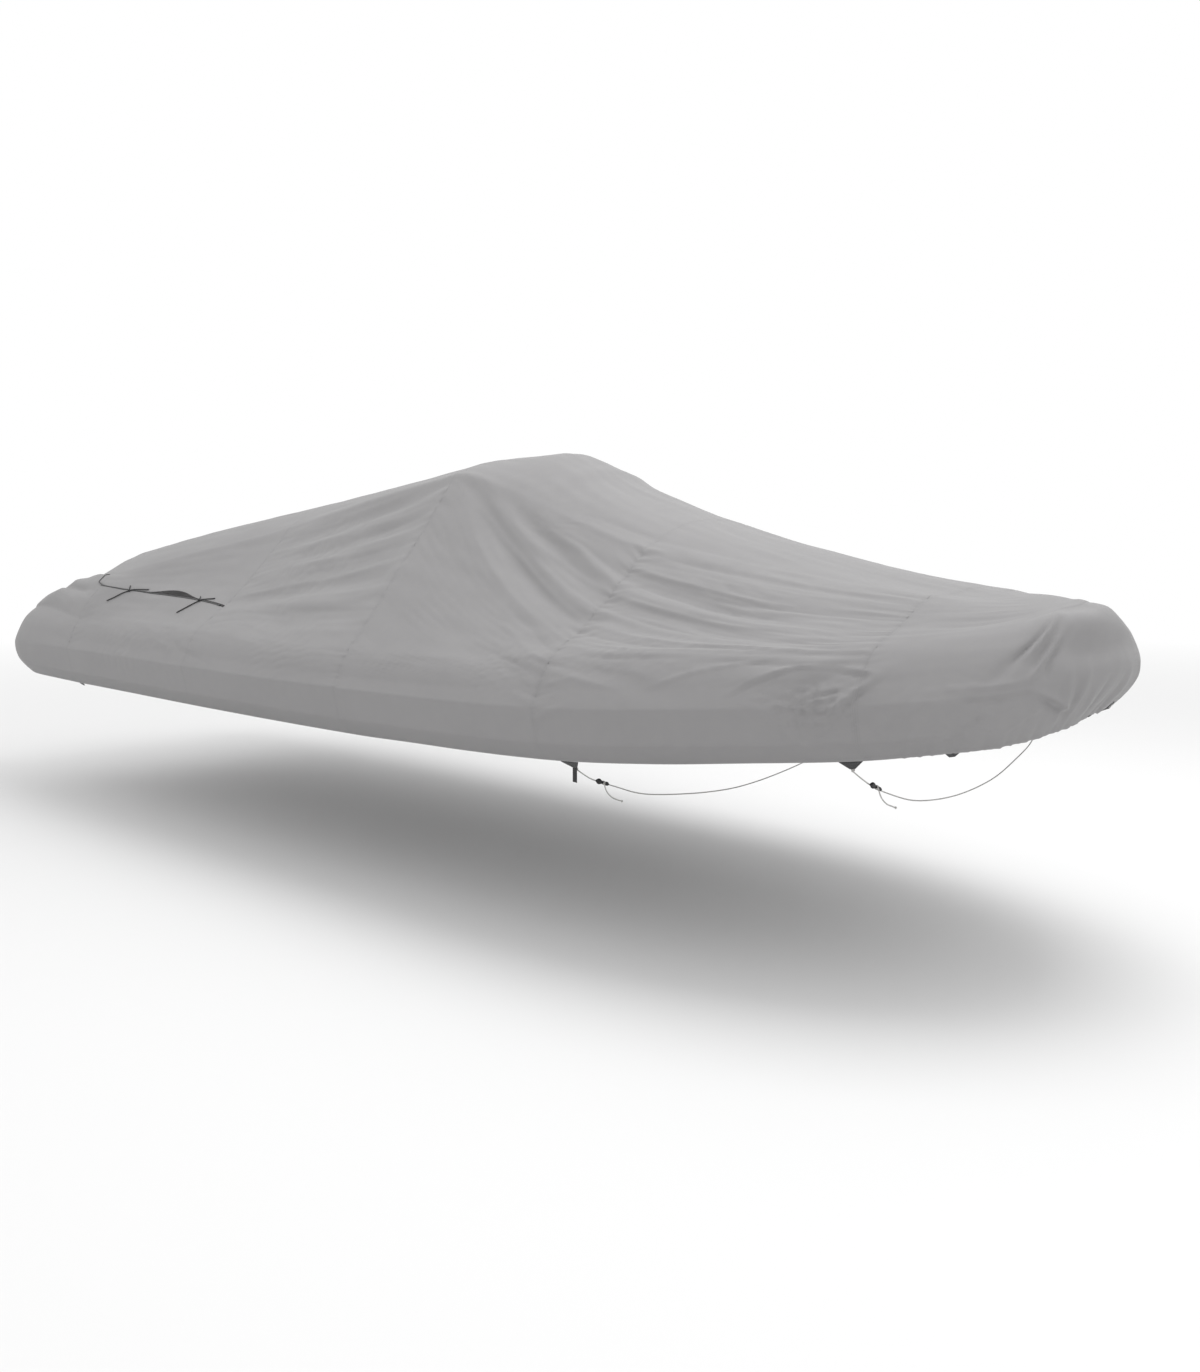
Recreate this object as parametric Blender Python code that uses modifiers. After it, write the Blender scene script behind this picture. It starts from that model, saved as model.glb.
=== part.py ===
"""Fitted cover for a rigid inflatable boat, as it hangs over the boat's windscreen and tubes.

Metres. +X is forward, +Y is port and +Z is up. The origin is where the windscreen's top
carries the cloth, so heights in the tables below are taken from the ground and lowered by
SUPPORT_HEIGHT when a point is placed. The cover is even from side to side, so its panels are
modelled on the starboard half and mirrored.
"""

import math

import bmesh
import bpy
from mathutils import Matrix, Vector
from mathutils.bvhtree import BVHTree

# Driving dimensions
SUPPORT_HEIGHT = 2.098
CLOTH = 0.0025
SEAM_GAP = 0.0003
MERGE = 0.0001
STERN_X = -3.85
BOW_X = 2.995
HALF_BEAM = 1.21
FORE_HALF_BEAM = 1.18
FORE_TAPER_START = 0.20

# The tube under the cloth: a strake stands out of its side, and the hem tucks in below it
STRAKE_DEPTH = 0.020
STRAKE_FADE = 0.35
STRAKE_TOP_ANGLE = math.radians(3)
STRAKE_FOOT_ANGLE = math.radians(-25)
HEM_ANGLE = math.radians(-47)
LEAST_LEAVING_ANGLE = math.radians(25)
LEAVING_BLEND = 3.0

# Where the lines along the cover lie, as shares of the way from hem to centre line
STRAKE_FOOT, STRAKE_TOP, LEAVING, SHOULDER = 0.07, 0.14, 0.34, 0.72
HALF_GIRTH = 2.3
# How far apart two places are when a direction on the cloth is taken from them
NEARBY = 0.01

# Cross seams, from stern to bow
STERN_SEAM, ARCH_SEAM, SEAT_SEAM, CONSOLE_SEAM, FORE_SEAM = -3.20, -1.70, -0.25, 1.10, 2.40
CUT_MARGIN = 0.005

# One row for each station. x is on the centre line and wideX at the widest line; the two
# part at the bow, where the stations fan round it. tube is the tube's radius. The cloth
# leaves the tube and runs taut to the shoulder, hollow by sag, then over to the ridge. Below
# the widest line it is drawn in and up by pull.
STATION_COLUMNS = ("x", "wideX", "wideZ", "tube", "shoulderY", "shoulderZ", "ridgeZ", "sag", "pull")
STATIONS = (
    (-3.85, -3.850, 0.965, 0.285, 0.72, 1.380, 1.630, -0.085, 0.000),
    (-3.20, -3.200, 0.965, 0.300, 0.84, 1.455, 1.712, -0.040, 0.000),
    (-2.50, -2.500, 0.963, 0.300, 0.66, 1.590, 1.812, 0.020, 0.000),
    (-1.70, -1.700, 0.960, 0.300, 0.50, 1.740, 1.910, 0.030, 0.000),
    (-1.00, -1.000, 0.960, 0.300, 0.45, 1.880, 1.998, 0.030, 0.000),
    (-0.40, -0.400, 0.962, 0.300, 0.43, 1.980, 2.072, 0.020, 0.000),
    (-0.22, -0.220, 0.963, 0.300, 0.43, 2.005, 2.095, 0.010, 0.000),
    (0.13, 0.130, 0.967, 0.295, 0.44, 1.930, 2.105, 0.015, 0.000),
    (0.55, 0.550, 0.974, 0.290, 0.46, 1.800, 1.958, 0.020, 0.000),
    (1.10, 1.100, 0.992, 0.285, 0.48, 1.645, 1.772, 0.020, 0.000),
    (1.60, 1.600, 1.025, 0.275, 0.48, 1.550, 1.645, 0.020, 0.000),
    (2.00, 2.000, 1.060, 0.265, 0.46, 1.500, 1.565, 0.015, 0.000),
    (2.40, 2.400, 1.092, 0.255, 0.40, 1.465, 1.502, 0.010, 0.000),
    (2.47, 2.560, 1.110, 0.250, 0.34, 1.455, 1.490, 0.000, 0.000),
    (2.53, 2.710, 1.130, 0.247, 0.27, 1.450, 1.482, 0.000, 0.000),
    (2.59, 2.840, 1.155, 0.248, 0.20, 1.453, 1.479, 0.000, 0.008),
    (2.64, 2.930, 1.185, 0.245, 0.14, 1.458, 1.478, 0.000, 0.024),
    (2.68, 2.985, 1.205, 0.242, 0.10, 1.461, 1.475, 0.000, 0.040),
    (2.70, BOW_X, 1.215, 0.240, 0.08, 1.463, 1.473, 0.000, 0.046),
)

# Main folds: x and share across of three points along each, its half width and its height.
# A trough has a height below 0.
FOLDS = (
    # the cloth lifted along the arch slit
    (-3.30, 0.58, -2.50, 0.49, -1.72, 0.43, 0.120, 0.022),
    # fan from the windscreen's aft corner to the slit
    (-0.33, 0.69, -0.85, 0.665, -1.50, 0.655, 0.055, -0.020),
    (-0.36, 0.655, -0.85, 0.635, -1.45, 0.615, 0.050, 0.014),
    (-0.38, 0.62, -0.80, 0.600, -1.30, 0.585, 0.050, -0.014),
    (-0.42, 0.59, -0.85, 0.570, -1.60, 0.550, 0.055, 0.018),
    (-0.40, 0.55, -0.80, 0.535, -1.25, 0.515, 0.050, -0.013),
    (-0.38, 0.50, -0.95, 0.487, -1.68, 0.446, 0.065, -0.030),
    (-0.38, 0.455, -0.95, 0.442, -1.55, 0.425, 0.055, 0.016),
    (-0.40, 0.41, -0.95, 0.400, -1.50, 0.415, 0.055, -0.012),
    # from the same corner forward and down to the console seam
    (-0.05, 0.69, 0.50, 0.577, 1.12, 0.445, 0.060, -0.034),
    (0.08, 0.69, 0.55, 0.612, 1.13, 0.490, 0.050, 0.026),
    (0.18, 0.70, 0.65, 0.635, 1.13, 0.535, 0.050, -0.020),
    (0.30, 0.70, 0.75, 0.662, 1.12, 0.590, 0.050, 0.018),
    (0.00, 0.63, 0.35, 0.545, 1.00, 0.410, 0.070, 0.012),
    (0.30, 0.41, 0.80, 0.320, 1.12, 0.190, 0.080, -0.014),
    (0.37, 0.72, 0.85, 0.745, 1.40, 0.785, 0.080, -0.010),
    # long folds forward of the console seam
    (1.08, 0.63, 1.50, 0.590, 2.00, 0.510, 0.060, -0.026),
    (1.08, 0.585, 1.50, 0.545, 2.10, 0.450, 0.050, 0.014),
    (1.08, 0.54, 1.60, 0.480, 2.25, 0.330, 0.055, -0.022),
    (1.08, 0.485, 1.60, 0.415, 2.33, 0.290, 0.050, -0.014),
    (1.05, 0.70, 1.60, 0.710, 2.25, 0.690, 0.070, -0.014),
    (1.10, 0.375, 1.50, 0.325, 2.17, 0.300, 0.060, 0.014),
    (1.12, 0.30, 1.40, 0.260, 1.72, 0.180, 0.060, -0.012),
    # the crumple under the fore seam
    (2.33, 0.25, 2.20, 0.165, 2.27, 0.070, 0.055, -0.024),
    (2.00, 0.22, 2.15, 0.250, 2.32, 0.280, 0.050, 0.014),
    (2.46, 0.24, 2.38, 0.170, 2.31, 0.115, 0.050, 0.014),
    # creases that part the bow's end from its top
    (2.92, 0.27, 2.87, 0.310, 2.70, 0.190, 0.045, 0.020),
    (2.86, 0.26, 2.80, 0.210, 2.76, 0.170, 0.035, -0.014),
    (2.67, 0.125, 2.60, 0.090, 2.52, 0.060, 0.045, 0.012),
)
FOLD_REACH = 2.6
# A fold starts and ends at these shares of a half wave, so that it fades out at both ends
FOLD_START, FOLD_END = 0.12, 0.88

# The slit for the radar arch's leg: the lower lip's share across, and how far the upper lip stands off
LIP_COLUMNS = ("x", "across")
LIP = ((-3.25, 0.583), (-2.89, 0.531), (-2.51, 0.488), (-2.01, 0.450), (-1.67, 0.425))
SLOPE_LENGTH = 1.55
LIP_GAP = 0.013
LEG_X, LEG_HALF_LENGTH, LEG_WIDTH = -2.35, 0.36, 0.062
BINDING_RADIUS = 0.0042
BINDING_SETBACK = 0.06

# Tube-end socks at the stern
SOCK_LENGTH = 0.43
SOCK_CENTRE_Y = 0.905
SOCK_CENTRE_HEIGHT = 0.965
SOCK_RADIUS = 0.285
SOCK_POWER = 2.6
SOCK_INNER_ANGLE = math.radians(200)
SOCK_RINGS = (0.0, 0.28, 0.55, 0.76, 0.90, 0.97)
SOCK_INNER_STEPS = 5

# Flap in front of the outboard
FLAP_FOOT_HEIGHT = 1.00
FLAP_HALF_WIDTH = 0.93
FLAP_TUBE_CLEARANCE = 0.006
FLAP_BILLOW = 0.035
FLAP_WAVES = 3
FLAP_LEAST_DROP = 0.004
FLAP_COLUMNS, FLAP_ROWS = 20, 4

# Hem tabs: name, x, width along the hem, drop, and length of a loose tail (0 for none)
TABS = (
    ("stern", -3.27, 0.060, 0.022, 0.0),
    ("mid", 1.195, 0.095, 0.045, 0.060),
    ("fore", 2.345, 0.085, 0.046, 0.0),
    ("bow", 2.655, 0.050, 0.022, 0.0),
)
WEBBING = 0.0022
TAB_TIP_WIDTH = 0.020
TAB_GAP = 0.0006
TAIL_WIDTH = 0.022
TAIL_OFFSET = 0.0026

# Lacing ties over the slit: name, x of the knot, then x and share across of each free end
TIES = (
    ("aft", -2.83, -2.99, 0.462, -2.66, 0.522),
    ("fore", -1.99, -2.13, 0.398, -1.86, 0.458),
)
TIE_RADIUS = 0.0035
TIE_STEP = 0.020
TIE_GAP = 0.0009
KNOT_SWELLS = (2.1, 2.6, 2.1)
FEELER = 0.08
FEELERS = 12

# Draw cords: name, then x, y and height on the way from the starboard tab to the centre line,
# and the loose end's way forward, to port and up from where it leaves the tightener
CORDS = (
    (
        "fore",
        ((2.345, -0.650, 0.802), (2.345, -0.520, 0.748), (2.345, -0.300, 0.686), (2.345, 0.0, 0.662)),
        ((0.0, 0.0, 0.0), (0.003, 0.012, -0.032), (0.008, 0.045, -0.066), (0.012, 0.105, -0.090)),
    ),
    (
        "mid",
        ((1.215, -0.960, 0.716), (1.220, -0.820, 0.662), (1.225, -0.560, 0.586), (1.225, 0.0, 0.535)),
        ((0.0, 0.0, 0.0), (0.003, 0.010, -0.035), (0.008, 0.045, -0.070), (0.012, 0.095, -0.090)),
    ),
)
CORD_RADIUS = 0.0025
CORD_STEP = 0.048
TAIL_STEP = 0.020
TAIL_END_SWELL = 1.6
CORD_LEAD_POINTS = 1
ROUTE_FINENESS = 16
CORD_GAP = 0.0009
KNOT_PROFILE = ((0.0, 1.0), (0.004, 2.6), (0.011, 2.9), (0.017, 1.0))
TIGHTENER_LENGTH = 0.075
TIGHTENER_THICKNESS = 0.012
TIGHTENER_POINTS = 2
TIGHTENER_GAP = 0.0006
TIGHTENER_PROFILE = (
    (0.00, 0.0), (0.03, 0.006), (0.12, 0.011), (0.24, 0.012), (0.36, 0.009), (0.44, 0.005),
    (0.70, 0.005), (0.78, 0.008), (0.90, 0.008), (0.97, 0.005), (1.00, 0.0),
)

# How finely each sheet is modelled: stations along it, then steps in the tuck, on the strake,
# up the tube's side, on the slope and over the crown
STERN_STATIONS, STERN_STEPS = 5, (2, 1, 3, 4, 3)
ARCH_STATIONS, ARCH_SIDE_STEPS, ARCH_TOP_STEPS = 12, (2, 1, 3, 3), (4, 3)
SEAT_STATIONS, SEAT_STEPS, SEAT_LEANS = 11, (2, 1, 3, 11, 3), (0.9, 1.1)
CONSOLE_STATIONS, CONSOLE_STEPS, CONSOLE_LEANS = 12, (2, 1, 3, 12, 4), (0.35, 1.45)
FORE_STATIONS, FORE_STEPS, FORE_LEANS = 9, (2, 1, 3, 10, 3), (0.65, 1.5)
BOW_STATIONS, BOW_STEPS = 9, (2, 1, 4, 5, 2)

SIDES = (("starboard", 1), ("port", -1))

COLOURS = {
    "cloth": ((0.38, 0.37, 0.37), 0.85, 0.0),
    "webbing": ((0.012, 0.012, 0.013), 0.80, 0.0),
    "lace": ((0.020, 0.020, 0.022), 0.75, 0.0),
    "cord": ((0.62, 0.61, 0.59), 0.70, 0.0),
    "plastic": ((0.015, 0.015, 0.017), 0.45, 0.0),
}


def clear_scene():
    for obj in list(bpy.data.objects):
        bpy.data.objects.remove(obj, do_unlink=True)


def collection(name):
    made = bpy.data.collections.new(name)
    bpy.context.scene.collection.children.link(made)
    return made


def material(name):
    colour, roughness, metallic = COLOURS[name]
    made = bpy.data.materials.get(name) or bpy.data.materials.new(name)
    made.use_nodes = True
    shader = made.node_tree.nodes["Principled BSDF"]
    shader.inputs["Base Color"].default_value = (*colour, 1.0)
    shader.inputs["Roughness"].default_value = roughness
    shader.inputs["Metallic"].default_value = metallic
    return made


def add_object(name, data, finish):
    obj = bpy.data.objects.new(name, data)
    data.materials.append(material(finish))
    parts.objects.link(obj)
    return obj


# The draped surface


def smooth_between(xs, values, x):
    """A smooth curve through a column that never swings past its values."""
    last = len(xs) - 1
    i = max(k for k in range(last) if xs[k] <= x or k == 0)
    steps = [(values[k + 1] - values[k]) / (xs[k + 1] - xs[k]) for k in range(last)]

    def slope(k):
        if k in (0, last):
            return steps[0] if k == 0 else steps[-1]
        before, after = steps[k - 1], steps[k]
        return 0.0 if before * after <= 0 else 2 * before * after / (before + after)

    width = xs[i + 1] - xs[i]
    t = min(1.0, max(0.0, (x - xs[i]) / width))
    rise = values[i + 1] - values[i]
    start, end = slope(i) * width, slope(i + 1) * width
    return values[i] + start * t + (3 * rise - 2 * start - end) * t**2 + (start + end - 2 * rise) * t**3


def column(rows, names, name):
    return [row[names.index(name)] for row in rows]


STATION_X = column(STATIONS, STATION_COLUMNS, "wideX")
STATION_VALUES = {name: column(STATIONS, STATION_COLUMNS, name) for name in STATION_COLUMNS}


def half_beam(x):
    """The widest line seen from above."""
    if x < FORE_TAPER_START:
        taken = max(0.0, (x - ARCH_SEAM) / (FORE_TAPER_START - ARCH_SEAM))
        return HALF_BEAM - (HALF_BEAM - FORE_HALF_BEAM) * taken**2
    share = (x - FORE_TAPER_START) / (BOW_X - FORE_TAPER_START)
    return FORE_HALF_BEAM * math.sqrt(max(0.0, 1 - share**3))


def section_point(station, across):
    """(distance from the centre line, height) at a share of the way from hem to centre line."""
    tube = station["tube"]
    strake = STRAKE_DEPTH * min(1.0, (BOW_X - station["wideX"]) / STRAKE_FADE)
    outer = tube + strake
    reach = math.hypot(station["wideX"] - station["x"], half_beam(station["wideX"]))
    centre = Vector((reach - outer, station["wideZ"]))

    def on_tube(angle, radius):
        return centre + radius * Vector((math.cos(angle), math.sin(angle)))

    drawn_in = Vector((-1, 1)) * station["pull"] * math.sqrt(max(0.0, 1 - across / STRAKE_TOP))
    if across <= STRAKE_FOOT:
        t = across / STRAKE_FOOT
        angle = HEM_ANGLE + (STRAKE_FOOT_ANGLE - HEM_ANGLE) * t
        return on_tube(angle, tube + strake * t**1.5) + drawn_in
    if across <= STRAKE_TOP:
        t = (across - STRAKE_FOOT) / (STRAKE_TOP - STRAKE_FOOT)
        return on_tube(STRAKE_FOOT_ANGLE, outer).lerp(on_tube(STRAKE_TOP_ANGLE, outer), t) + drawn_in
    shoulder = Vector((station["shoulderY"], station["shoulderZ"]))
    away = shoulder - centre
    leaving = math.atan2(away.y, away.x) - math.acos(min(1.0, tube / away.length))
    leaving = max(leaving, LEAST_LEAVING_ANGLE)
    if across <= LEAVING:
        t = (across - STRAKE_TOP) / (LEAVING - STRAKE_TOP)
        angle = STRAKE_TOP_ANGLE + (leaving - STRAKE_TOP_ANGLE) * t
        return on_tube(angle, tube + strake * max(0.0, 1 - LEAVING_BLEND * t) ** 1.5)
    left = on_tube(leaving, tube)
    if across <= SHOULDER:
        t = (across - LEAVING) / (SHOULDER - LEAVING)
        down = Vector((-(shoulder - left).y, (shoulder - left).x)).normalized()
        down = down if down.y < 0 else -down
        return left.lerp(shoulder, t) + down * station["sag"] * 4 * t * (1 - t)
    t = (across - SHOULDER) / (1 - SHOULDER)
    height = shoulder.y + (station["ridgeZ"] - shoulder.y) * (1 - (1 - t) ** 2)
    return Vector((shoulder.x * (1 - t), height))


def taut_point(x, across):
    """A point of the cloth without its folds, on the starboard half."""
    station = {name: smooth_between(STATION_X, values, x) for name, values in STATION_VALUES.items()}
    out, height = section_point(station, across)
    turn = math.atan2(station["wideX"] - station["x"], half_beam(station["wideX"]))
    return Vector((station["x"] + out * math.sin(turn), -out * math.cos(turn), height - SUPPORT_HEIGHT))


def distance_to_route(x, along_cloth, route):
    """How far a place on the cloth lies from a fold, and how far along the fold that is, 0 to 1."""
    here = Vector((x, along_cloth))
    best = (1e9, 0.0)
    for k in (0, 1):
        start, end = route[k], route[k + 1]
        run = end - start
        t = min(1.0, max(0.0, (here - start).dot(run) / run.length_squared))
        best = min(best, ((here - start - run * t).length, (k + t) / 2))
    return best


def fold_height(x, across):
    total = 0.0
    for x0, a0, x1, a1, x2, a2, width, height in FOLDS:
        if not min(x0, x2) - FOLD_REACH * width < x < max(x0, x2) + FOLD_REACH * width:
            continue
        route = [Vector((px, share * HALF_GIRTH)) for px, share in ((x0, a0), (x1, a1), (x2, a2))]
        away, along = distance_to_route(x, across * HALF_GIRTH, route)
        if away < FOLD_REACH * width:
            fade = math.sin(math.pi * (FOLD_START + (FOLD_END - FOLD_START) * along))
            total += height * fade * math.exp(-((away / width) ** 2))
    return total


def cloth_point(x, across):
    """A point of the cloth with its folds."""
    here = taut_point(x, across)
    x_low, x_high = max(STERN_X, x - NEARBY), min(BOW_X, x + NEARBY)
    a_low, a_high = max(0.0, across - NEARBY), min(1.0, across + NEARBY)
    forward = taut_point(x_high, across) - taut_point(x_low, across)
    inward = taut_point(x, a_high) - taut_point(x, a_low)
    normal = forward.cross(inward)
    if normal.length > 1e-9:
        here += normal.normalized() * fold_height(x, across)
    if across >= 1.0 or x >= BOW_X:
        here.y = 0.0
    return here


def evenly(start, end, count):
    return [start + (end - start) * k / count for k in range(count + 1)]


def across_shares(tuck, strake, side, slope, crown, lean=1.0):
    """Shares from hem to centre line, with a count for each stretch.

    lean moves the slope's lines together, towards the shoulder below 1 and away from it above.
    """
    shares = evenly(0, STRAKE_FOOT, tuck) + evenly(STRAKE_FOOT, STRAKE_TOP, strake)[1:]
    shares += evenly(STRAKE_TOP, LEAVING, side)[1:]
    shares += [LEAVING + (SHOULDER - LEAVING) * t**lean for t in evenly(0, 1, slope)[1:]]
    return shares + evenly(SHOULDER, 1.0, crown)[1:]


# Sheets


def loft(name, rows):
    """An open sheet through rows of points, facing away from the boat."""
    mesh = bpy.data.meshes.new(name)
    bm = bmesh.new()
    made = [[bm.verts.new(point) for point in row] for row in rows]
    for row, following in zip(made, made[1:]):
        for k in range(len(row) - 1):
            bm.faces.new((row[k], following[k], following[k + 1], row[k + 1]))
    bm.to_mesh(mesh)
    bm.free()
    return mesh


def thicken(obj):
    solidify = obj.modifiers.new("Cloth thickness", "SOLIDIFY")
    solidify.thickness = CLOTH
    solidify.offset = -1


def mirror_across(obj):
    mirror = obj.modifiers.new("Port half", "MIRROR")
    mirror.use_axis = (False, True, False)
    mirror.merge_threshold = MERGE


def bay_cutter(name, start, end):
    """A block that keeps what lies between two cross seams, half a seam gap short of each."""
    low, high = start + SEAM_GAP / 2, end - SEAM_GAP / 2
    mesh = bpy.data.meshes.new(name)
    bm = bmesh.new()
    bmesh.ops.create_cube(bm, size=1.0)
    bmesh.ops.scale(bm, vec=(high - low, 4.0, 4.0), verts=bm.verts)
    bmesh.ops.translate(bm, vec=((high + low) / 2, 0, -0.8), verts=bm.verts)
    bm.to_mesh(mesh)
    bm.free()
    block = bpy.data.objects.new(name, mesh)
    block.hide_render = True
    block.display_type = "WIRE"
    cutters.objects.link(block)
    return block


def keep_bay(obj, bay):
    cut = obj.modifiers.new("Cross seams", "BOOLEAN")
    cut.operation = "INTERSECT"
    cut.object = bay
    cut.solver = "EXACT"


def stations_between(start, end, count):
    """Stations on both seams and between them, and one just past each seam for the bay to cut."""
    return [start - CUT_MARGIN] + evenly(start, end, count) + [end + CUT_MARGIN]


def whole_panel(name, start, end, count, stretches, leans):
    """A panel from seam to seam; its lines lean along the folds, from one end to the other."""
    xs = stations_between(start, end, count)
    hem_stations.extend(xs[1:-1])
    rows = []
    for x in xs:
        lean = leans[0] + (leans[1] - leans[0]) * min(1.0, max(0.0, (x - start) / (end - start)))
        rows.append([cloth_point(x, a) for a in across_shares(*stretches, lean)])
    panel = add_object(name, loft(name, rows), "cloth")
    mirror_across(panel)
    thicken(panel)
    keep_bay(panel, bay_cutter(name + "_bay", start, end))


def bow_panel(shares):
    """Round the bow the stations bunch up where it turns fastest."""
    turns = [math.sin(math.pi / 2 * k / BOW_STATIONS) for k in range(BOW_STATIONS + 1)]
    xs = [FORE_SEAM - CUT_MARGIN] + [FORE_SEAM + (BOW_X - FORE_SEAM) * turn for turn in turns]
    hem_stations.extend(xs[1:])
    rows = [[cloth_point(x, a) for a in shares] for x in xs]
    panel = add_object("panel_bow", loft("panel_bow", rows), "cloth")
    mirror_across(panel)
    thicken(panel)
    keep_bay(panel, bay_cutter("panel_bow_bay", FORE_SEAM, BOW_X + 1.0))


def sock_ring(share, outer_shares):
    """One ring of a tube-end sock: the outer part meets the panel's columns, the rest runs down inside."""
    x = STERN_X - SOCK_LENGTH * share
    radius = SOCK_RADIUS * math.sqrt(1 - share**SOCK_POWER)
    front = [taut_point(STERN_X, a) for a in outer_shares]
    centre = Vector((0, -SOCK_CENTRE_Y, SOCK_CENTRE_HEIGHT - SUPPORT_HEIGHT))
    ring = []
    for point in front:
        away = Vector((0, point.y - centre.y, point.z - centre.z))
        ring.append(Vector((x, 0, 0)) + centre + away * radius / SOCK_RADIUS)
    last = ring[-1] - centre
    start = math.atan2(last.z, -last.y)
    for angle in evenly(start, SOCK_INNER_ANGLE, SOCK_INNER_STEPS)[1:]:
        ring.append(Vector((x, centre.y - radius * math.cos(angle), centre.z + radius * math.sin(angle))))
    return ring


def stern_panel(shares):
    """The aftmost panel with a sock over each tube's end, cut in one."""
    name = "panel_stern"
    xs = evenly(STERN_X, STERN_SEAM, STERN_STATIONS) + [STERN_SEAM + CUT_MARGIN]
    hem_stations.extend(xs[:-1])
    outer_shares = [a for a in shares if a <= LEAVING + 1e-9]
    bm = bmesh.new()
    body = [[bm.verts.new(cloth_point(x, a)) for a in shares] for x in xs]
    rings = [body[0][: len(outer_shares)]]
    rings[0] = rings[0] + [bm.verts.new(p) for p in sock_ring(0.0, outer_shares)[len(outer_shares):]]
    rings += [[bm.verts.new(p) for p in sock_ring(share, outer_shares)] for share in SOCK_RINGS[1:]]
    for rows in (body, rings[::-1]):
        for row, following in zip(rows, rows[1:]):
            for k in range(len(row) - 1):
                bm.faces.new((row[k], following[k], following[k + 1], row[k + 1]))
    tip_place = (STERN_X - SOCK_LENGTH, -SOCK_CENTRE_Y, SOCK_CENTRE_HEIGHT - SUPPORT_HEIGHT)
    tip = bm.verts.new(tip_place)
    for a, b in zip(rings[-1], rings[-1][1:]):
        bm.faces.new((tip, a, b))
    mesh = bpy.data.meshes.new(name)
    bm.to_mesh(mesh)
    bm.free()
    panel = add_object(name, mesh, "cloth")
    mirror_across(panel)
    thicken(panel)
    keep_bay(panel, bay_cutter("panel_stern_bay", STERN_X - 1.0, STERN_SEAM))


# The arch bay and its slits


def lip_share(x):
    return smooth_between(column(LIP, LIP_COLUMNS, "x"), column(LIP, LIP_COLUMNS, "across"), x)


def far_lip_share(x):
    """The far lip stands off most where the arch's leg comes through."""
    off = (x - LEG_X) / LEG_HALF_LENGTH
    opening = LEG_WIDTH * math.cos(math.pi / 2 * off) ** 2 if abs(off) < 1 else 0.0
    return lip_share(x) + (LIP_GAP + opening) / SLOPE_LENGTH


def arch_side_rows(xs):
    tuck, strake, side, rise = ARCH_SIDE_STEPS
    rows = []
    for x in xs:
        shares = across_shares(tuck, strake, side, 1, 1)[: tuck + strake + side + 1]
        shares += evenly(LEAVING, lip_share(x), rise)[1:]
        rows.append([cloth_point(x, a) for a in shares])
    return rows


def arch_panels():
    xs = stations_between(STERN_SEAM, ARCH_SEAM, ARCH_STATIONS)
    hem_stations.extend(xs[1:-1])
    bay = bay_cutter("arch_bay", STERN_SEAM, ARCH_SEAM)
    slope, crown = ARCH_TOP_STEPS
    rows = []
    for x in xs:
        shares = evenly(far_lip_share(x), SHOULDER, slope)
        shares += evenly(SHOULDER, 1.0, crown)[1:]
        rows.append([cloth_point(x, a) for a in shares])
    top = add_object("panel_arch_top", loft("panel_arch_top", rows), "cloth")
    mirror_across(top)
    thicken(top)
    keep_bay(top, bay)
    side_rows = arch_side_rows(xs)
    for name, sign in SIDES:
        turned = [[Vector((p.x, p.y * sign, p.z)) for p in row] for row in side_rows]
        if sign < 0:
            turned = turned[::-1]
        side = add_object("panel_arch_" + name, loft("panel_arch_" + name, turned), "cloth")
        thicken(side)
        keep_bay(side, bay)
        binding(name, sign, side_rows)


def binding(name, sign, side_rows):
    """The dark edging that closes the near lip, just clear of the cloth's edge."""
    points = []
    for row in side_rows[1:-1]:
        outward = (row[-1] - row[-2]).normalized()
        point = row[-1] + outward * (BINDING_RADIUS + SEAM_GAP)
        points.append(Vector((point.x, point.y * sign, point.z)))
    points[0] = points[0].lerp(points[1], BINDING_SETBACK)
    points[-1] = points[-1].lerp(points[-2], BINDING_SETBACK)
    tube_along("slit_binding_" + name, points, BINDING_RADIUS, "webbing")


def stern_flap(shares):
    """The flap that drops from the stern edge between the tubes, clear of them."""
    edge = [cloth_point(STERN_X, a) for a in shares if a >= LEAVING]
    x_top = STERN_X - SEAM_GAP - CLOTH

    def edge_height(y):
        for a, b in zip(edge, edge[1:]):
            if -b.y <= y <= -a.y:
                return a.z + (b.z - a.z) * (y + a.y) / (a.y - b.y)
        return edge[-1].z

    rows = []
    for row in range(FLAP_ROWS + 1):
        t = row / FLAP_ROWS
        points = []
        for k in range(FLAP_COLUMNS + 1):
            y = FLAP_HALF_WIDTH * (1 - 2 * k / FLAP_COLUMNS)
            top = edge_height(abs(y))
            beside = abs(abs(y) - SOCK_CENTRE_Y)
            clear = SOCK_RADIUS + FLAP_TUBE_CLEARANCE
            over_tube = SOCK_CENTRE_HEIGHT + math.sqrt(max(0.0, clear**2 - beside**2))
            foot = max(FLAP_FOOT_HEIGHT, over_tube) - SUPPORT_HEIGHT
            foot = min(foot, top - FLAP_LEAST_DROP)
            wave = 0.7 - 0.3 * math.cos(math.tau * FLAP_WAVES * y / FLAP_HALF_WIDTH)
            inside = max(0.0, 1 - (abs(y) / (SOCK_CENTRE_Y - SOCK_RADIUS)) ** 4)
            billow = FLAP_BILLOW * t * inside * wave
            points.append(Vector((x_top - billow, y, top + (foot - top) * t)))
        rows.append(points)
    flap = add_object("stern_flap", loft("stern_flap", rows), "cloth")
    thicken(flap)


# Tabs, ties and draw cords


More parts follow.
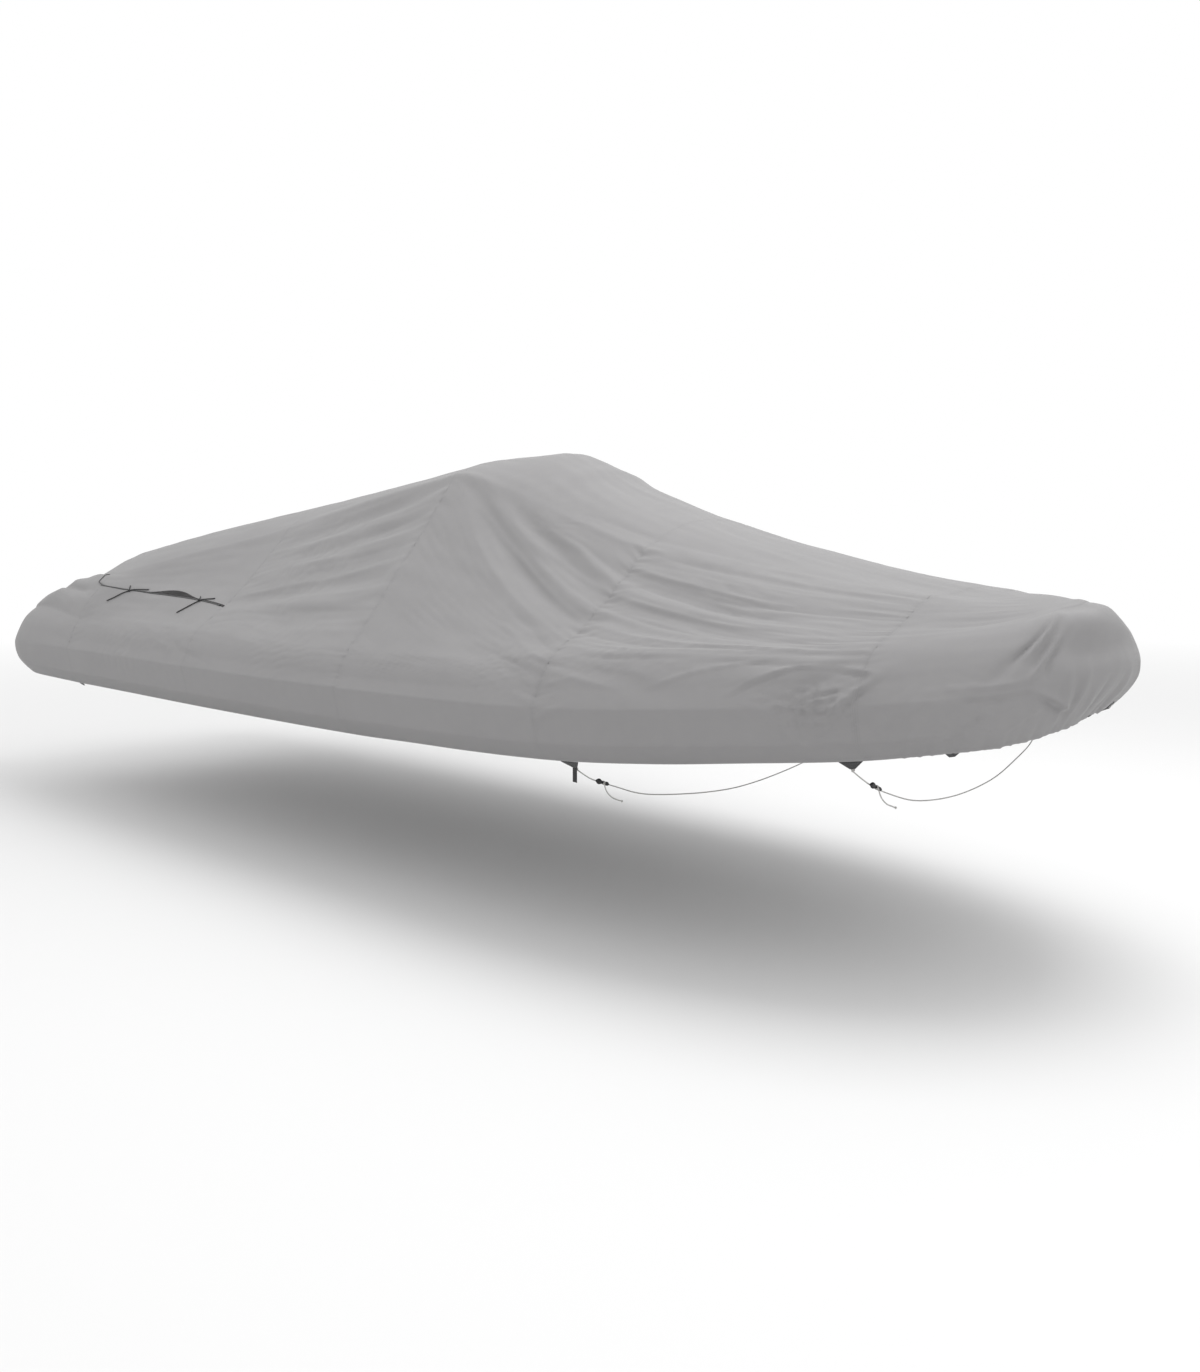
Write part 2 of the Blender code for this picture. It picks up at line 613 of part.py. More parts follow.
def flat_plate(name, outline, thickness, finish, place, along, down, sign):
    """A flat piece whose outline runs along and down from its place; sign -1 mirrors it to port."""
    curve = bpy.data.curves.new(name, "CURVE")
    curve.dimensions = "2D"
    curve.fill_mode = "BOTH"
    curve.extrude = thickness / 2
    spline = curve.splines.new("POLY")
    spline.points.add(len(outline) - 1)
    for spot, (u, v) in zip(spline.points, outline):
        spot.co = (u, v, 0.0, 1.0)
    spline.use_cyclic_u = True
    plate = add_object(name, curve, finish)
    if sign < 0:
        place, along, down = (Vector((v.x, -v.y, v.z)) for v in (place, along, down))
    turn = Matrix((along, down, along.cross(down))).transposed().to_4x4()
    plate.matrix_world = Matrix.Translation(place) @ turn


def hem_frame(x, half):
    """Place on a straight stretch of the starboard hem, the way along it, down from it and out."""
    start, end = next(pair for pair in zip(hem_stations, hem_stations[1:]) if pair[0] <= x <= pair[1])
    first, last = cloth_point(start, 0.0), cloth_point(end, 0.0)
    along = (last - first).normalized()
    length = (last - first).length
    here = first + along * min(length - half, max(half, length * (x - start) / (end - start)))
    down = (here - taut_point(x, STRAKE_FOOT / 2)).normalized()
    down = (down - along * down.dot(along)).normalized()
    return here - along.cross(down) * CLOTH / 2, along, down


def hem_tab(side, sign, name, x, width, drop, tail):
    """A webbing triangle under the hem, with a loose tail on some that hangs from its tip."""
    half, tip = width / 2, TAB_TIP_WIDTH / 2
    here, along, down = hem_frame(x, half)
    here += down * TAB_GAP
    outline = [(-half, 0), (half, 0), (tip, drop), (-tip, drop)]
    flat_plate(f"tab_{name}_{side}", outline, WEBBING, "webbing", here, along, down, sign)
    if sign > 0:
        tab_tips[name] = (here + down * drop, down)
    if tail:
        half_tail, straight_down = TAIL_WIDTH / 2, Vector((0, 0, -1))
        outline = [(-half_tail, 0), (half_tail, 0), (half_tail, tail), (-half_tail, tail * 0.96)]
        place = here + down * (drop - WEBBING) + down.cross(along) * TAIL_OFFSET
        level = Vector((along.x, along.y, 0)).normalized()
        strap = f"strap_{name}_{side}"
        flat_plate(strap, outline, WEBBING, "webbing", place, level, straight_down, sign)


def smooth_route(points, step):
    """Evenly spaced places on a smooth curve through a few points."""
    ends = [points[0] * 2 - points[1]] + points + [points[-1] * 2 - points[-2]]
    fine = []
    for p0, p1, p2, p3 in zip(ends, ends[1:], ends[2:], ends[3:]):
        for k in range(ROUTE_FINENESS):
            t = k / ROUTE_FINENESS
            slope, bend, twist = p2 - p0, p0 * 2 - p1 * 5 + p2 * 4 - p3, p1 * 3 - p0 - p2 * 3 + p3
            fine.append((p1 * 2 + slope * t + bend * t**2 + twist * t**3) / 2)
    fine.append(points[-1])
    lengths = [0.0]
    for a, b in zip(fine, fine[1:]):
        lengths.append(lengths[-1] + (b - a).length)
    count = max(2, round(lengths[-1] / step))
    spots, k = [], 0
    for wanted in evenly(0.0, lengths[-1], count):
        while k < len(fine) - 2 and lengths[k + 1] < wanted:
            k += 1
        spots.append(fine[k].lerp(fine[k + 1], (wanted - lengths[k]) / (lengths[k + 1] - lengths[k])))
    return spots


def tube_along(name, points, radius, finish, swell=()):
    """A round cord through the points; swell lists (point number, times the radius) for a knot."""
    curve = bpy.data.curves.new(name, "CURVE")
    curve.dimensions = "3D"
    spline = curve.splines.new("POLY")
    spline.points.add(len(points) - 1)
    for spot, point in zip(spline.points, points):
        spot.co = (*point, 1.0)
    for number, times in swell:
        spline.points[number].radius = times
    curve.bevel_depth = radius
    curve.bevel_resolution = 2
    curve.use_fill_caps = True
    return add_object(name, curve, finish)


def outer_surface(names):
    """What the ties rest on: the finished cloth and its binding."""
    bpy.context.view_layer.update()
    graph = bpy.context.evaluated_depsgraph_get()
    joined = bmesh.new()
    for name in names:
        mesh = bpy.data.meshes.new_from_object(bpy.data.objects[name].evaluated_get(graph))
        joined.from_mesh(mesh)
        bpy.data.meshes.remove(mesh)
    tree = BVHTree.FromBMesh(joined)
    joined.free()
    return tree


def resting_point(tree, x, across, radius):
    """Where the middle of a round tie of this radius lies on the cloth, felt all round it."""
    base = taut_point(x, across)
    forward = (taut_point(x + NEARBY, across) - base).normalized()
    inward = (taut_point(x, across + NEARBY) - base).normalized()
    out = forward.cross(inward).normalized()
    height = 0.0
    for k in range(FEELERS):
        angle = math.tau * k / FEELERS
        beside = forward * math.cos(angle) + inward * math.sin(angle)
        start = base + beside * radius + out * FEELER
        _, _, _, distance = tree.ray_cast(start, -out, 2 * FEELER)
        height = max(height, FEELER - distance) if distance is not None else height
    return base + out * (height + radius + TIE_GAP)


def lacing_ties():
    """Short ties knotted over the slit's lips, one free end below the knot and one beside it."""
    tree = outer_surface(("panel_arch_top", "panel_arch_starboard", "slit_binding_starboard"))
    for name, x, long_x, long_across, short_x, short_across in TIES:
        knot = (x, lip_share(x))
        ends = [(long_x, long_across), knot, (short_x, short_across)]
        flat = [Vector((a, b * SLOPE_LENGTH, 0)) for a, b in ends]
        path = smooth_route(flat, TIE_STEP)
        middle = min(range(len(path)), key=lambda k: (path[k] - flat[1]).length)
        swell = [(middle + k, times) for k, times in zip((-1, 0, 1), KNOT_SWELLS)]
        radii = {number: TIE_RADIUS * times for number, times in swell}
        points = [
            resting_point(tree, spot.x, spot.y / SLOPE_LENGTH, radii.get(k, TIE_RADIUS))
            for k, spot in enumerate(path)
        ]
        for side, sign in SIDES:
            turned = [Vector((p.x, p.y * sign, p.z)) for p in points]
            tube_along(f"tie_{name}_{side}", turned, TIE_RADIUS, "lace", swell)


def tightener_outline(length):
    """A long lobe, a narrow waist and a short lobe, from the widths at shares of its length."""
    upper = [(share * length, width) for share, width in TIGHTENER_PROFILE]
    lower = [(along, -width) for along, width in reversed(upper) if width > 0]
    return upper + lower


def draw_cord(name, route, tail):
    """A cord from the starboard tab under the boat to the port tab, its tightener and loose end."""
    tip, down = tab_tips[name]
    knot = [tip + down * (CORD_GAP + along) for along, _ in KNOT_PROFILE]
    half = knot[-1:] + [at_height(*row) for row in route]
    port_half = [Vector((p.x, -p.y, p.z)) for p in reversed(half[:-1])]
    port_knot = [Vector((p.x, -p.y, p.z)) for p in reversed(knot[:-1])]
    points = knot[:-1] + smooth_route(half + port_half, CORD_STEP) + port_knot
    last = len(points) - 1
    swell = [(k, times) for k, (_, times) in enumerate(KNOT_PROFILE)]
    swell += [(last - k, times) for k, times in swell]
    tube_along("cord_" + name, points, CORD_RADIUS, "cord", swell)
    # the tightener lies along the cord, against the side that faces forward
    first = len(knot) + CORD_LEAD_POINTS
    stretch = points[first : first + TIGHTENER_POINTS + 1]
    along = (stretch[-1] - stretch[0]).normalized()
    forward = (Vector((1, 0, 0)) - along * along.x).normalized()
    proudest = max((point - stretch[0]).dot(forward) for point in stretch)
    beside = forward * (proudest + CORD_RADIUS + TIGHTENER_THICKNESS / 2 + TIGHTENER_GAP)
    place = stretch[0] + beside
    flat_plate(
        "tightener_" + name, tightener_outline(TIGHTENER_LENGTH), TIGHTENER_THICKNESS, "plastic",
        place, along, forward.cross(along), 1,
    )
    middle = place + along * TIGHTENER_LENGTH / 2
    leaves = middle + forward * (TIGHTENER_THICKNESS / 2 + TIGHTENER_GAP + CORD_RADIUS)
    tail_points = smooth_route([leaves + Vector(row) for row in tail], TAIL_STEP)
    tube_along("tail_" + name, tail_points, CORD_RADIUS, "cord", [(len(tail_points) - 1, TAIL_END_SWELL)])


def at_height(x, y, height):
    return Vector((x, y, height - SUPPORT_HEIGHT))


def main():
    stern_shares = across_shares(*STERN_STEPS)
    stern_panel(stern_shares)
    arch_panels()
    whole_panel("panel_seat", ARCH_SEAM, SEAT_SEAM, SEAT_STATIONS, SEAT_STEPS, SEAT_LEANS)
    whole_panel("panel_console", SEAT_SEAM, CONSOLE_SEAM, CONSOLE_STATIONS, CONSOLE_STEPS, CONSOLE_LEANS)
    whole_panel("panel_fore", CONSOLE_SEAM, FORE_SEAM, FORE_STATIONS, FORE_STEPS, FORE_LEANS)
    bow_panel(across_shares(*BOW_STEPS))
    stern_flap(stern_shares)
    hem_stations.sort()
    for side, sign in SIDES:
        for row in TABS:
            hem_tab(side, sign, *row)
    lacing_ties()
    for name, route, tail in CORDS:
        draw_cord(name, route, tail)


clear_scene()
parts = collection("boat_cover")
cutters = collection("cutters")
hem_stations = []
tab_tips = {}
main()
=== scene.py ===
import math

import bmesh
import bpy
import numpy as np
from mathutils import Matrix, Vector
from mathutils.bvhtree import BVHTree


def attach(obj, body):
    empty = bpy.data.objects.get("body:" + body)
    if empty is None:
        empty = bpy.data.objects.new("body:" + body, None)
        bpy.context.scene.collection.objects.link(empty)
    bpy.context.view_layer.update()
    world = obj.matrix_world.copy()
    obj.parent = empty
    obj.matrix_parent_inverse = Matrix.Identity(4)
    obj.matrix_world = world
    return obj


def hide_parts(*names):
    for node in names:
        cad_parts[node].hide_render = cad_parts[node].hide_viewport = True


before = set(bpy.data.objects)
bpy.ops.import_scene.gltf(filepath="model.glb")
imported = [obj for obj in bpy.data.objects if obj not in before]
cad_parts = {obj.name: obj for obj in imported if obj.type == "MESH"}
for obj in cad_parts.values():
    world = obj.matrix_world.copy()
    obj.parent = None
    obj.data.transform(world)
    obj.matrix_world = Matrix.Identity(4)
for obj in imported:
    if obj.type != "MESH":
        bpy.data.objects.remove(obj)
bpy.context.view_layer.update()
print("frame loaded:", len(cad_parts), "nodes")

supportHeight = 2.098
flanks = ("starboard", "port")


def placed(name, data):
    made = bpy.data.objects.new(name, data)
    bpy.context.scene.collection.objects.link(made)
    return made


# Camera

cameraSettings = {
    "place": (4.79, -4.55, -.398), "heading": 45.7, "pitchDown": 6.85, "lens": 33.06, "sensor": 36,
    "reach": 200,
}


def placeCamera(settings):
    heading, pitch = math.radians(settings["heading"]), math.radians(settings["pitchDown"])
    level = Vector((-math.cos(heading), math.sin(heading), 0))
    ahead = level * math.cos(pitch) - Vector((0, 0, math.sin(pitch)))
    right = Vector((math.sin(heading), math.cos(heading), 0))
    data = bpy.data.cameras.new("camera")
    data.sensor_fit, data.sensor_width, data.lens = "AUTO", settings["sensor"], settings["lens"]
    data.clip_end = settings["reach"]
    camera = placed("camera", data)
    turn = Matrix((right, right.cross(ahead), -ahead)).transposed().to_4x4()
    camera.matrix_world = Matrix.Translation(settings["place"]) @ turn
    bpy.context.scene.camera = camera


placeCamera(cameraSettings)
bpy.context.scene.view_settings.view_transform = "Standard"
print("camera placed")


# Shader maths: a socket that takes part in sums
class Signal:
    def __init__(self, shade, socket):
        self.shade, self.socket = shade, socket

    def math(self, operation, *values):
        return self.shade.node("ShaderNodeMath", {"operation": operation}, dict(enumerate(values)))

    def __radd__(self, other):
        return self.math("ADD", other, self)


signalMaths = {
    "__add__": "ADD", "__sub__": "SUBTRACT", "__mul__": "MULTIPLY", "__truediv__": "DIVIDE", "power": "POWER",
    "sine": "SINE", "size": "ABSOLUTE", "part": "FRACT", "under": "LESS_THAN", "over": "GREATER_THAN",
}
for name, operation in signalMaths.items():
    setattr(Signal, name, lambda self, *others, operation=operation: self.math(operation, self, *others))


# One material: its own settings are set on the shader, and node() adds any other node
class Shade:
    def __init__(self, name, colour, roughness, sheen=0.0, specular=.5):
        self.material = bpy.data.materials.new(name)
        self.material.use_nodes = True
        self.tree = self.material.node_tree
        self.shader = self.tree.nodes["Principled BSDF"]
        own = {
            "Base Color": (*colour, 1), "Roughness": roughness, "Sheen Weight": sheen, "Sheen Roughness": .5,
            "Specular IOR Level": specular,
        }
        for name, value in own.items():
            self.shader.inputs[name].default_value = value

    def node(self, kind, settings=None, inputs=None, output=0):
        made = self.tree.nodes.new(kind)
        for name, value in (settings or {}).items():
            setattr(made, name, value)
        for name, value in (inputs or {}).items():
            if isinstance(value, Signal):
                self.tree.links.new(value.socket, made.inputs[name])
            else:
                made.inputs[name].default_value = value
        return Signal(self, made.outputs[output])

    def feed(self, name, signal):
        self.tree.links.new(signal.socket, self.shader.inputs[name])

    def noise(self, place, scale, detail=2.0):
        return self.node("ShaderNodeTexNoise", {}, {"Vector": place, "Scale": scale, "Detail": detail})

    # noise drawn out: its scale along the piece, across it and off it
    def streaks(self, place, scale, detail):
        return self.noise(self.node("ShaderNodeMapping", {}, {"Vector": place, "Scale": scale}), 1.0, detail)

    # two colours by a mask
    def mixed(self, mask, *colours):
        first, second = [colour if isinstance(colour, Signal) else (*colour, 1) for colour in colours]
        return self.node("ShaderNodeMix", {"data_type": "RGBA"}, {0: mask, 6: first, 7: second}, 2)

    def relief(self, height, strength, distance):
        bump = self.node("ShaderNodeBump", {}, {"Height": height, "Strength": strength, "Distance": distance})
        self.feed("Normal", bump)

    # a map's place, and its two lengths on their own
    def split(self, layer):
        place = self.node("ShaderNodeUVMap", {"uv_map": layer})
        apart = self.node("ShaderNodeSeparateXYZ", {}, {0: place}).socket.node
        return place, Signal(self, apart.outputs[0]), Signal(self, apart.outputs[1])


# Coated polyester canvas: a plain weave, thread slubs, mottling, stitched seams and hem
clothLook = {
    "colour": (.281, .276, .279), "dark": (.254, .250, .253), "dust": (.304, .298, .299),
    "thread": (.218, .216, .219), "roughness": .82, "sheen": .12, "specular": .35, "weave": .0011,
    "slubs": (30, 900, 1), "picks": (900, 30, 1), "patches": 2.2, "mottle": 17, "wornHem": .006,
    "stitchRows": (.004, .012), "hemRows": (.020, .0235), "stitch": .0042, "stitchWidth": .0009,
    "stitchShare": .72, "bump": .55, "bumpDepth": .00045,
    # how far each one changes the colour, and how high it stands in the relief
    "patchBy": (1.6, .35), "mottleBy": (.9, .28), "threadBy": .30, "wornBy": .45, "stitchBy": .8,
    "weaveHigh": .25, "threadHigh": .5, "stitchDeep": 1.6, "mottleHigh": 1.2, "unevenGloss": (.08, .14),
}


def clothMaterial(name, look):
    shade = Shade(name, look["colour"], look["roughness"], look["sheen"], look["specular"])
    place, u, v = shade.split("cloth")
    _, seam, hem = shade.split("edges")
    turns = math.tau / look["weave"]
    weave = (u * turns).sine() * (v * turns).sine()
    slubs, picks = (shade.streaks(place, look[threads], 1.0) for threads in ("slubs", "picks"))
    patches, mottle = shade.noise(place, look["patches"], 3.0), shade.noise(place, look["mottle"], 4.0)
    # stitches run along the seams at set distances from them, and along the hem
    stitches = 0.0
    for edge, way, rows in ((seam, v, look["stitchRows"]), (hem, u, look["hemRows"])):
        dashes = (way / look["stitch"]).part().under(look["stitchShare"])
        for row in rows:
            stitches = stitches + (edge - row).size().under(look["stitchWidth"] / 2) * dashes
    (patchBy, patchLess), (mottleBy, mottleLess) = look["patchBy"], look["mottleBy"]
    base = shade.mixed(patches * patchBy - patchLess, look["colour"], look["dark"])
    base = shade.mixed(mottle * mottleBy - mottleLess, base, look["dust"])
    base = shade.mixed((slubs + picks) * look["threadBy"], base, look["dark"])
    # a worn, lighter line on the rolled hem
    base = shade.mixed(hem.under(look["wornHem"]) * look["wornBy"], base, look["dust"])
    shade.feed("Base Color", shade.mixed(stitches * look["stitchBy"], base, look["thread"]))
    less, more = look["unevenGloss"]
    shade.feed("Roughness", look["roughness"] - less + mottle * more)
    height = weave * look["weaveHigh"] + slubs * look["threadHigh"] + picks * look["threadHigh"]
    height = height - stitches * look["stitchDeep"] + mottle * look["mottleHigh"]
    shade.relief(height, look["bump"], look["bumpDepth"])
    return shade.material


# Woven webbing and binding tape: fine ribs across, in black
webbingLook = {
    "colour": (.014, .014, .015), "thread": (.035, .035, .038), "roughness": .78, "sheen": .25,
    "rib": .0013, "fuzz": 260, "bump": .8, "bumpDepth": .0003,
    # how far the weave and the fuzz change the colour, the gloss and the relief
    "threadBy": .3, "fuzzBy": .5, "unevenGloss": (.1, .2), "fuzzHigh": .6,
}


def webbingMaterial(name, look):
    shade = Shade(name, look["colour"], look["roughness"], look["sheen"])
    place, u, v = shade.split("cloth")
    twill = (u * (math.tau / look["rib"])).sine() * (v * (math.tau / (2.0 * look["rib"]))).sine()
    fuzz = shade.noise(place, look["fuzz"], 3.0)
    mask, (less, more) = twill * look["threadBy"] + fuzz * look["fuzzBy"], look["unevenGloss"]
    shade.feed("Base Color", shade.mixed(mask, look["colour"], look["thread"]))
    shade.feed("Roughness", look["roughness"] - less + fuzz * more)
    shade.relief(twill + fuzz * look["fuzzHigh"], look["bump"], look["bumpDepth"])
    return shade.material


# Braided cord: strands cross in two directions round it, and the grooves between them are painted darker as
# shade
braidLook = {
    "strands": 4, "grime": 60, "sheen": .2, "bump": .9, "bumpDepth": .0006,
    "grooveShadePower": .4, "rounded": .5, "grimeBy": .15,
    # each braid's groove colour is a painted shade colour for the hollows between the strands
    "cord": {"colour": (.66, .65, .63), "grooveShade": (.36, .35, .34), "roughness": .62, "pick": .0042},
    "lace": {"colour": (.02, .02, .022), "grooveShade": (.006, .006, .007), "roughness": .7, "pick": .0045},
}


def braidMaterial(name, look, braid):
    shade = Shade(name, look["colour"], look["roughness"], braid["sheen"])
    place, u, v = shade.split("cloth")
    around, along = v * (math.tau * braid["strands"]), u * (math.tau / look["pick"])
    strands = (around + along).sine().size() * (around - along).sine().size()
    grime = shade.noise(place, braid["grime"], 3.0)
    dirt = grime * braid["grimeBy"]
    # painted shade: the mask gives the grooves between the strands the darker colour, and grime darkens it
    # further
    mask = strands.power(braid["grooveShadePower"]) - dirt
    shade.feed("Base Color", shade.mixed(mask, look["grooveShade"], look["colour"]))
    shade.feed("Roughness", look["roughness"] + dirt)
    shade.relief(strands.power(braid["rounded"]), braid["bump"], braid["bumpDepth"])
    return shade.material


# Moulded plastic with a fine spark-eroded grain and scuffs
plasticLook = {
    "colour": (.013, .013, .014), "scuff": (.045, .045, .047), "roughness": .42, "grain": 1400,
    "scuffs": (90, 400, 200), "scuffedOver": .60, "scuffBy": .5, "scuffGloss": .3, "grainGloss": .08,
    "bump": .35, "bumpDepth": .0002,
}


def plasticMaterial(name, look):
    shade = Shade(name, look["colour"], look["roughness"])
    place = shade.node("ShaderNodeTexCoord", output="Object")
    grain = shade.noise(place, look["grain"], 2.0)
    marks = shade.streaks(place, look["scuffs"], 4.0).over(look["scuffedOver"]) * look["scuffBy"]
    shade.feed("Base Color", shade.mixed(marks, look["colour"], look["scuff"]))
    shade.feed("Roughness", look["roughness"] + marks * look["scuffGloss"] + grain * look["grainGloss"])
    shade.relief(grain, look["bump"], look["bumpDepth"])
    return shade.material


finishes = {
    "cloth": clothMaterial("cloth canvas", clothLook),
    "webbing": webbingMaterial("webbing weave", webbingLook),
    "cord": braidMaterial("cord braid", braidLook["cord"], braidLook),
    "lace": braidMaterial("lace braid", braidLook["lace"], braidLook),
    "plastic": plasticMaterial("plastic moulded", plasticLook),
}
print("materials made:", ", ".join(finishes))


# The draped surface: x along the boat, and the share of the way from hem (0) to ridge (1)
shape = {
    "sternX": -3.85, "bowX": 2.995, "halfBeam": 1.21, "foreHalfBeam": 1.18, "foreTaperStart": .20,
    "taperFrom": -1.70, "strakeDepth": .020, "strakeFade": .35, "strakeTopAngle": math.radians(3),
    "strakeFootAngle": math.radians(-25), "hemAngle": math.radians(-47), "footEase": 1.5,
    "leastLeaving": math.radians(25), "leavingBlend": 3.0, "nearby": .01,
    "roundFrom": 2.58, "roundBehind": -3.42, "roundOver": .32, "roundStrake": .6, "drawnReach": .175,
}
strakeFoot, strakeTop, leaving, shoulder = .07, .14, .34, .72
halfGirth, clothThickness = 2.3, .0025
seamX = {"stern": -3.20, "arch": -1.70, "seat": -.25, "console": 1.10, "fore": 2.40}
seamGap = .0001

stationColumns = ("x", "wideX", "wideZ", "tube", "shoulderY", "shoulderZ", "ridgeZ", "sag", "pull")
stations = (
    (-3.85, -3.85, .965, .285, .72, 1.38, 1.63, -.085, 0),
    (-3.2, -3.2, .965, .3, .84, 1.455, 1.712, -.04, 0),
    (-2.5, -2.5, .963, .3, .66, 1.59, 1.812, .02, 0),
    (-1.7, -1.7, .96, .3, .5, 1.74, 1.91, .03, 0),
    (-1, -1, .96, .3, .45, 1.88, 1.998, .03, 0),
    (-.4, -.4, .962, .3, .43, 1.98, 2.072, .02, 0),
    (-.22, -.22, .963, .3, .43, 2.005, 2.095, .01, 0),
    (.13, .13, .967, .295, .44, 1.93, 2.105, .015, 0),
    (.55, .55, .974, .29, .46, 1.8, 1.958, .02, 0),
    (1.1, 1.1, .992, .285, .48, 1.645, 1.772, .02, 0),
    (1.6, 1.6, 1.025, .275, .48, 1.55, 1.645, .02, 0),
    (2, 2, 1.06, .265, .46, 1.5, 1.565, .015, 0),
    (2.4, 2.4, 1.092, .255, .4, 1.465, 1.502, .01, 0),
    (2.47, 2.56, 1.11, .25, .34, 1.455, 1.49, 0, 0),
    (2.53, 2.71, 1.13, .247, .27, 1.45, 1.482, 0, 0),
    (2.59, 2.84, 1.155, .248, .2, 1.453, 1.479, 0, .008),
    (2.64, 2.93, 1.185, .245, .14, 1.458, 1.478, 0, .024),
    (2.68, 2.985, 1.205, .242, .1, 1.461, 1.475, 0, .04),
    (2.7, 2.995, 1.215, .24, .08, 1.463, 1.473, 0, .046),
)
stationValues = {name: np.array([row[k] for row in stations]) for k, name in enumerate(stationColumns)}


def between(start, end, t):
    return start + (end - start) * t


def shareOf(value, low, high):
    return np.clip((value - low) / (high - low), 0, 1)


def smoothStep(t):
    t = np.clip(t, 0, 1)
    return t * t * (3 - 2 * t)


# a curve through the values that never swings past them
def smoothBetween(xs, values, x):
    xs, values = np.asarray(xs, float), np.asarray(values, float)
    steps = np.diff(values) / np.diff(xs)
    before, after = steps[:-1], steps[1:]
    same = before * after > 0
    inner = np.where(same, 2 * before * after / np.where(same, before + after, 1), 0)
    slopes = np.concatenate([steps[:1], inner, steps[-1:]])
    i = np.clip(np.searchsorted(xs, x, side="right") - 1, 0, len(xs) - 2)
    width = xs[i + 1] - xs[i]
    t = np.clip((x - xs[i]) / width, 0, 1)
    rise, start, end = values[i + 1] - values[i], slopes[i] * width, slopes[i + 1] * width
    return values[i] + start * t + (3 * rise - 2 * start - end) * t**2 + (start + end - 2 * rise) * t**3


def halfBeamAt(x):
    taken = shareOf(x, shape["taperFrom"], shape["foreTaperStart"])
    aft = shape["halfBeam"] - (shape["halfBeam"] - shape["foreHalfBeam"]) * taken**2
    share = shareOf(x, shape["foreTaperStart"], shape["bowX"])
    return np.where(x < shape["foreTaperStart"], aft, shape["foreHalfBeam"] * np.sqrt(1 - share**3))


# The cloth without folds, as zones from the hem up: the tuck under the tube, the strake,
# the tube's side up to where the cloth leaves it, the slope to the shoulder, and the crown
def creasedCloth(x, across):
    s = {name: smoothBetween(stationValues["wideX"], values, x) for name, values in stationValues.items()}
    beam, tube = halfBeamAt(s["wideX"]), s["tube"]
    strake = shape["strakeDepth"] * np.minimum(1, (shape["bowX"] - s["wideX"]) / shape["strakeFade"])
    # the strake's flat facets give way to a round at the bow and at the stern
    past = np.maximum(x - shape["roundFrom"], shape["roundBehind"] - x)
    rounded = np.clip(past / shape["roundOver"], 0, 1)
    strake = strake * (1 - (1 - shape["roundStrake"]) * rounded)
    outer = tube + strake
    middle = np.hypot(s["wideX"] - s["x"], beam) - outer
    drawn = s["pull"] * smoothStep(1 - across / shape["drawnReach"])
    hemAngle, footAngle, topAngle = shape["hemAngle"], shape["strakeFootAngle"], shape["strakeTopAngle"]
    ease = shape["footEase"]

    def onTube(angle, radius):
        out, up = middle + radius * np.cos(angle), s["wideZ"] + radius * np.sin(angle)
        return np.stack(np.broadcast_arrays(out, up))

    inTuck = shareOf(across, 0, strakeFoot)
    tuck = onTube(between(hemAngle, footAngle, inTuck), tube + strake * inTuck**ease)
    upStrake = shareOf(across, strakeFoot, strakeTop)
    onStrake = between(onTube(footAngle, outer), onTube(topAngle, outer), upStrake)
    roundAngle = between(hemAngle, topAngle, shareOf(across, 0, strakeTop))
    roundTuck = onTube(roundAngle, tube + strake * inTuck**ease)
    tuck, onStrake = between(tuck, roundTuck, rounded), between(onStrake, roundTuck, rounded)
    aside, above = s["shoulderY"] - middle, s["shoulderZ"] - s["wideZ"]
    leave = np.arctan2(above, aside) - np.arccos(np.minimum(1, tube / np.hypot(aside, above)))
    leave = np.maximum(leave, shape["leastLeaving"])
    t = shareOf(across, strakeTop, leaving)
    blend = np.maximum(0, 1 - shape["leavingBlend"] * t) ** ease
    side = onTube(between(topAngle, leave, t), tube + strake * blend)
    left = onTube(leave, tube)
    run = np.stack([s["shoulderY"] - left[0], s["shoulderZ"] - left[1]])
    hollow = np.where(run[0] < 0, 1, -1) / np.hypot(*run)
    t = shareOf(across, leaving, shoulder)
    slope = left + run * t + np.stack([-run[1], run[0]]) * hollow * (s["sag"] * 4 * t * (1 - t))
    t = shareOf(across, shoulder, 1)
    crown = np.stack([s["shoulderY"] * (1 - t), between(s["shoulderZ"], s["ridgeZ"], 1 - (1 - t) ** 2)])
    zones = [across <= strakeFoot, across <= strakeTop, across <= leaving, across <= shoulder]
    out, up = (np.select(zones, [tuck[k], onStrake[k], side[k], slope[k]], crown[k]) for k in (0, 1))
    turn, out = np.arctan2(s["wideX"] - s["x"], beam), out - drawn
    return np.stack([s["x"] + out * np.sin(turn), -out * np.cos(turn), up + drawn - supportHeight], -1)


# forward of the console the cloth rolls over the deck's edge instead of creasing on it
deckEdge = {"from": .80, "over": .70, "reach": .07, "around": .20, "steps": (-1, -.5, 0, .5, 1)}


def tautCloth(x, across):
    x, across = np.broadcast_arrays(np.asarray(x, float), np.asarray(across, float))
    rolling = smoothStep((x - deckEdge["from"]) / deckEdge["over"])
    reach = deckEdge["reach"] * rolling * np.clip(1 - np.abs(across - shoulder) / deckEdge["around"], 0, 1)
    return sum(creasedCloth(x, across + reach * step) for step in deckEdge["steps"]) / len(deckEdge["steps"])


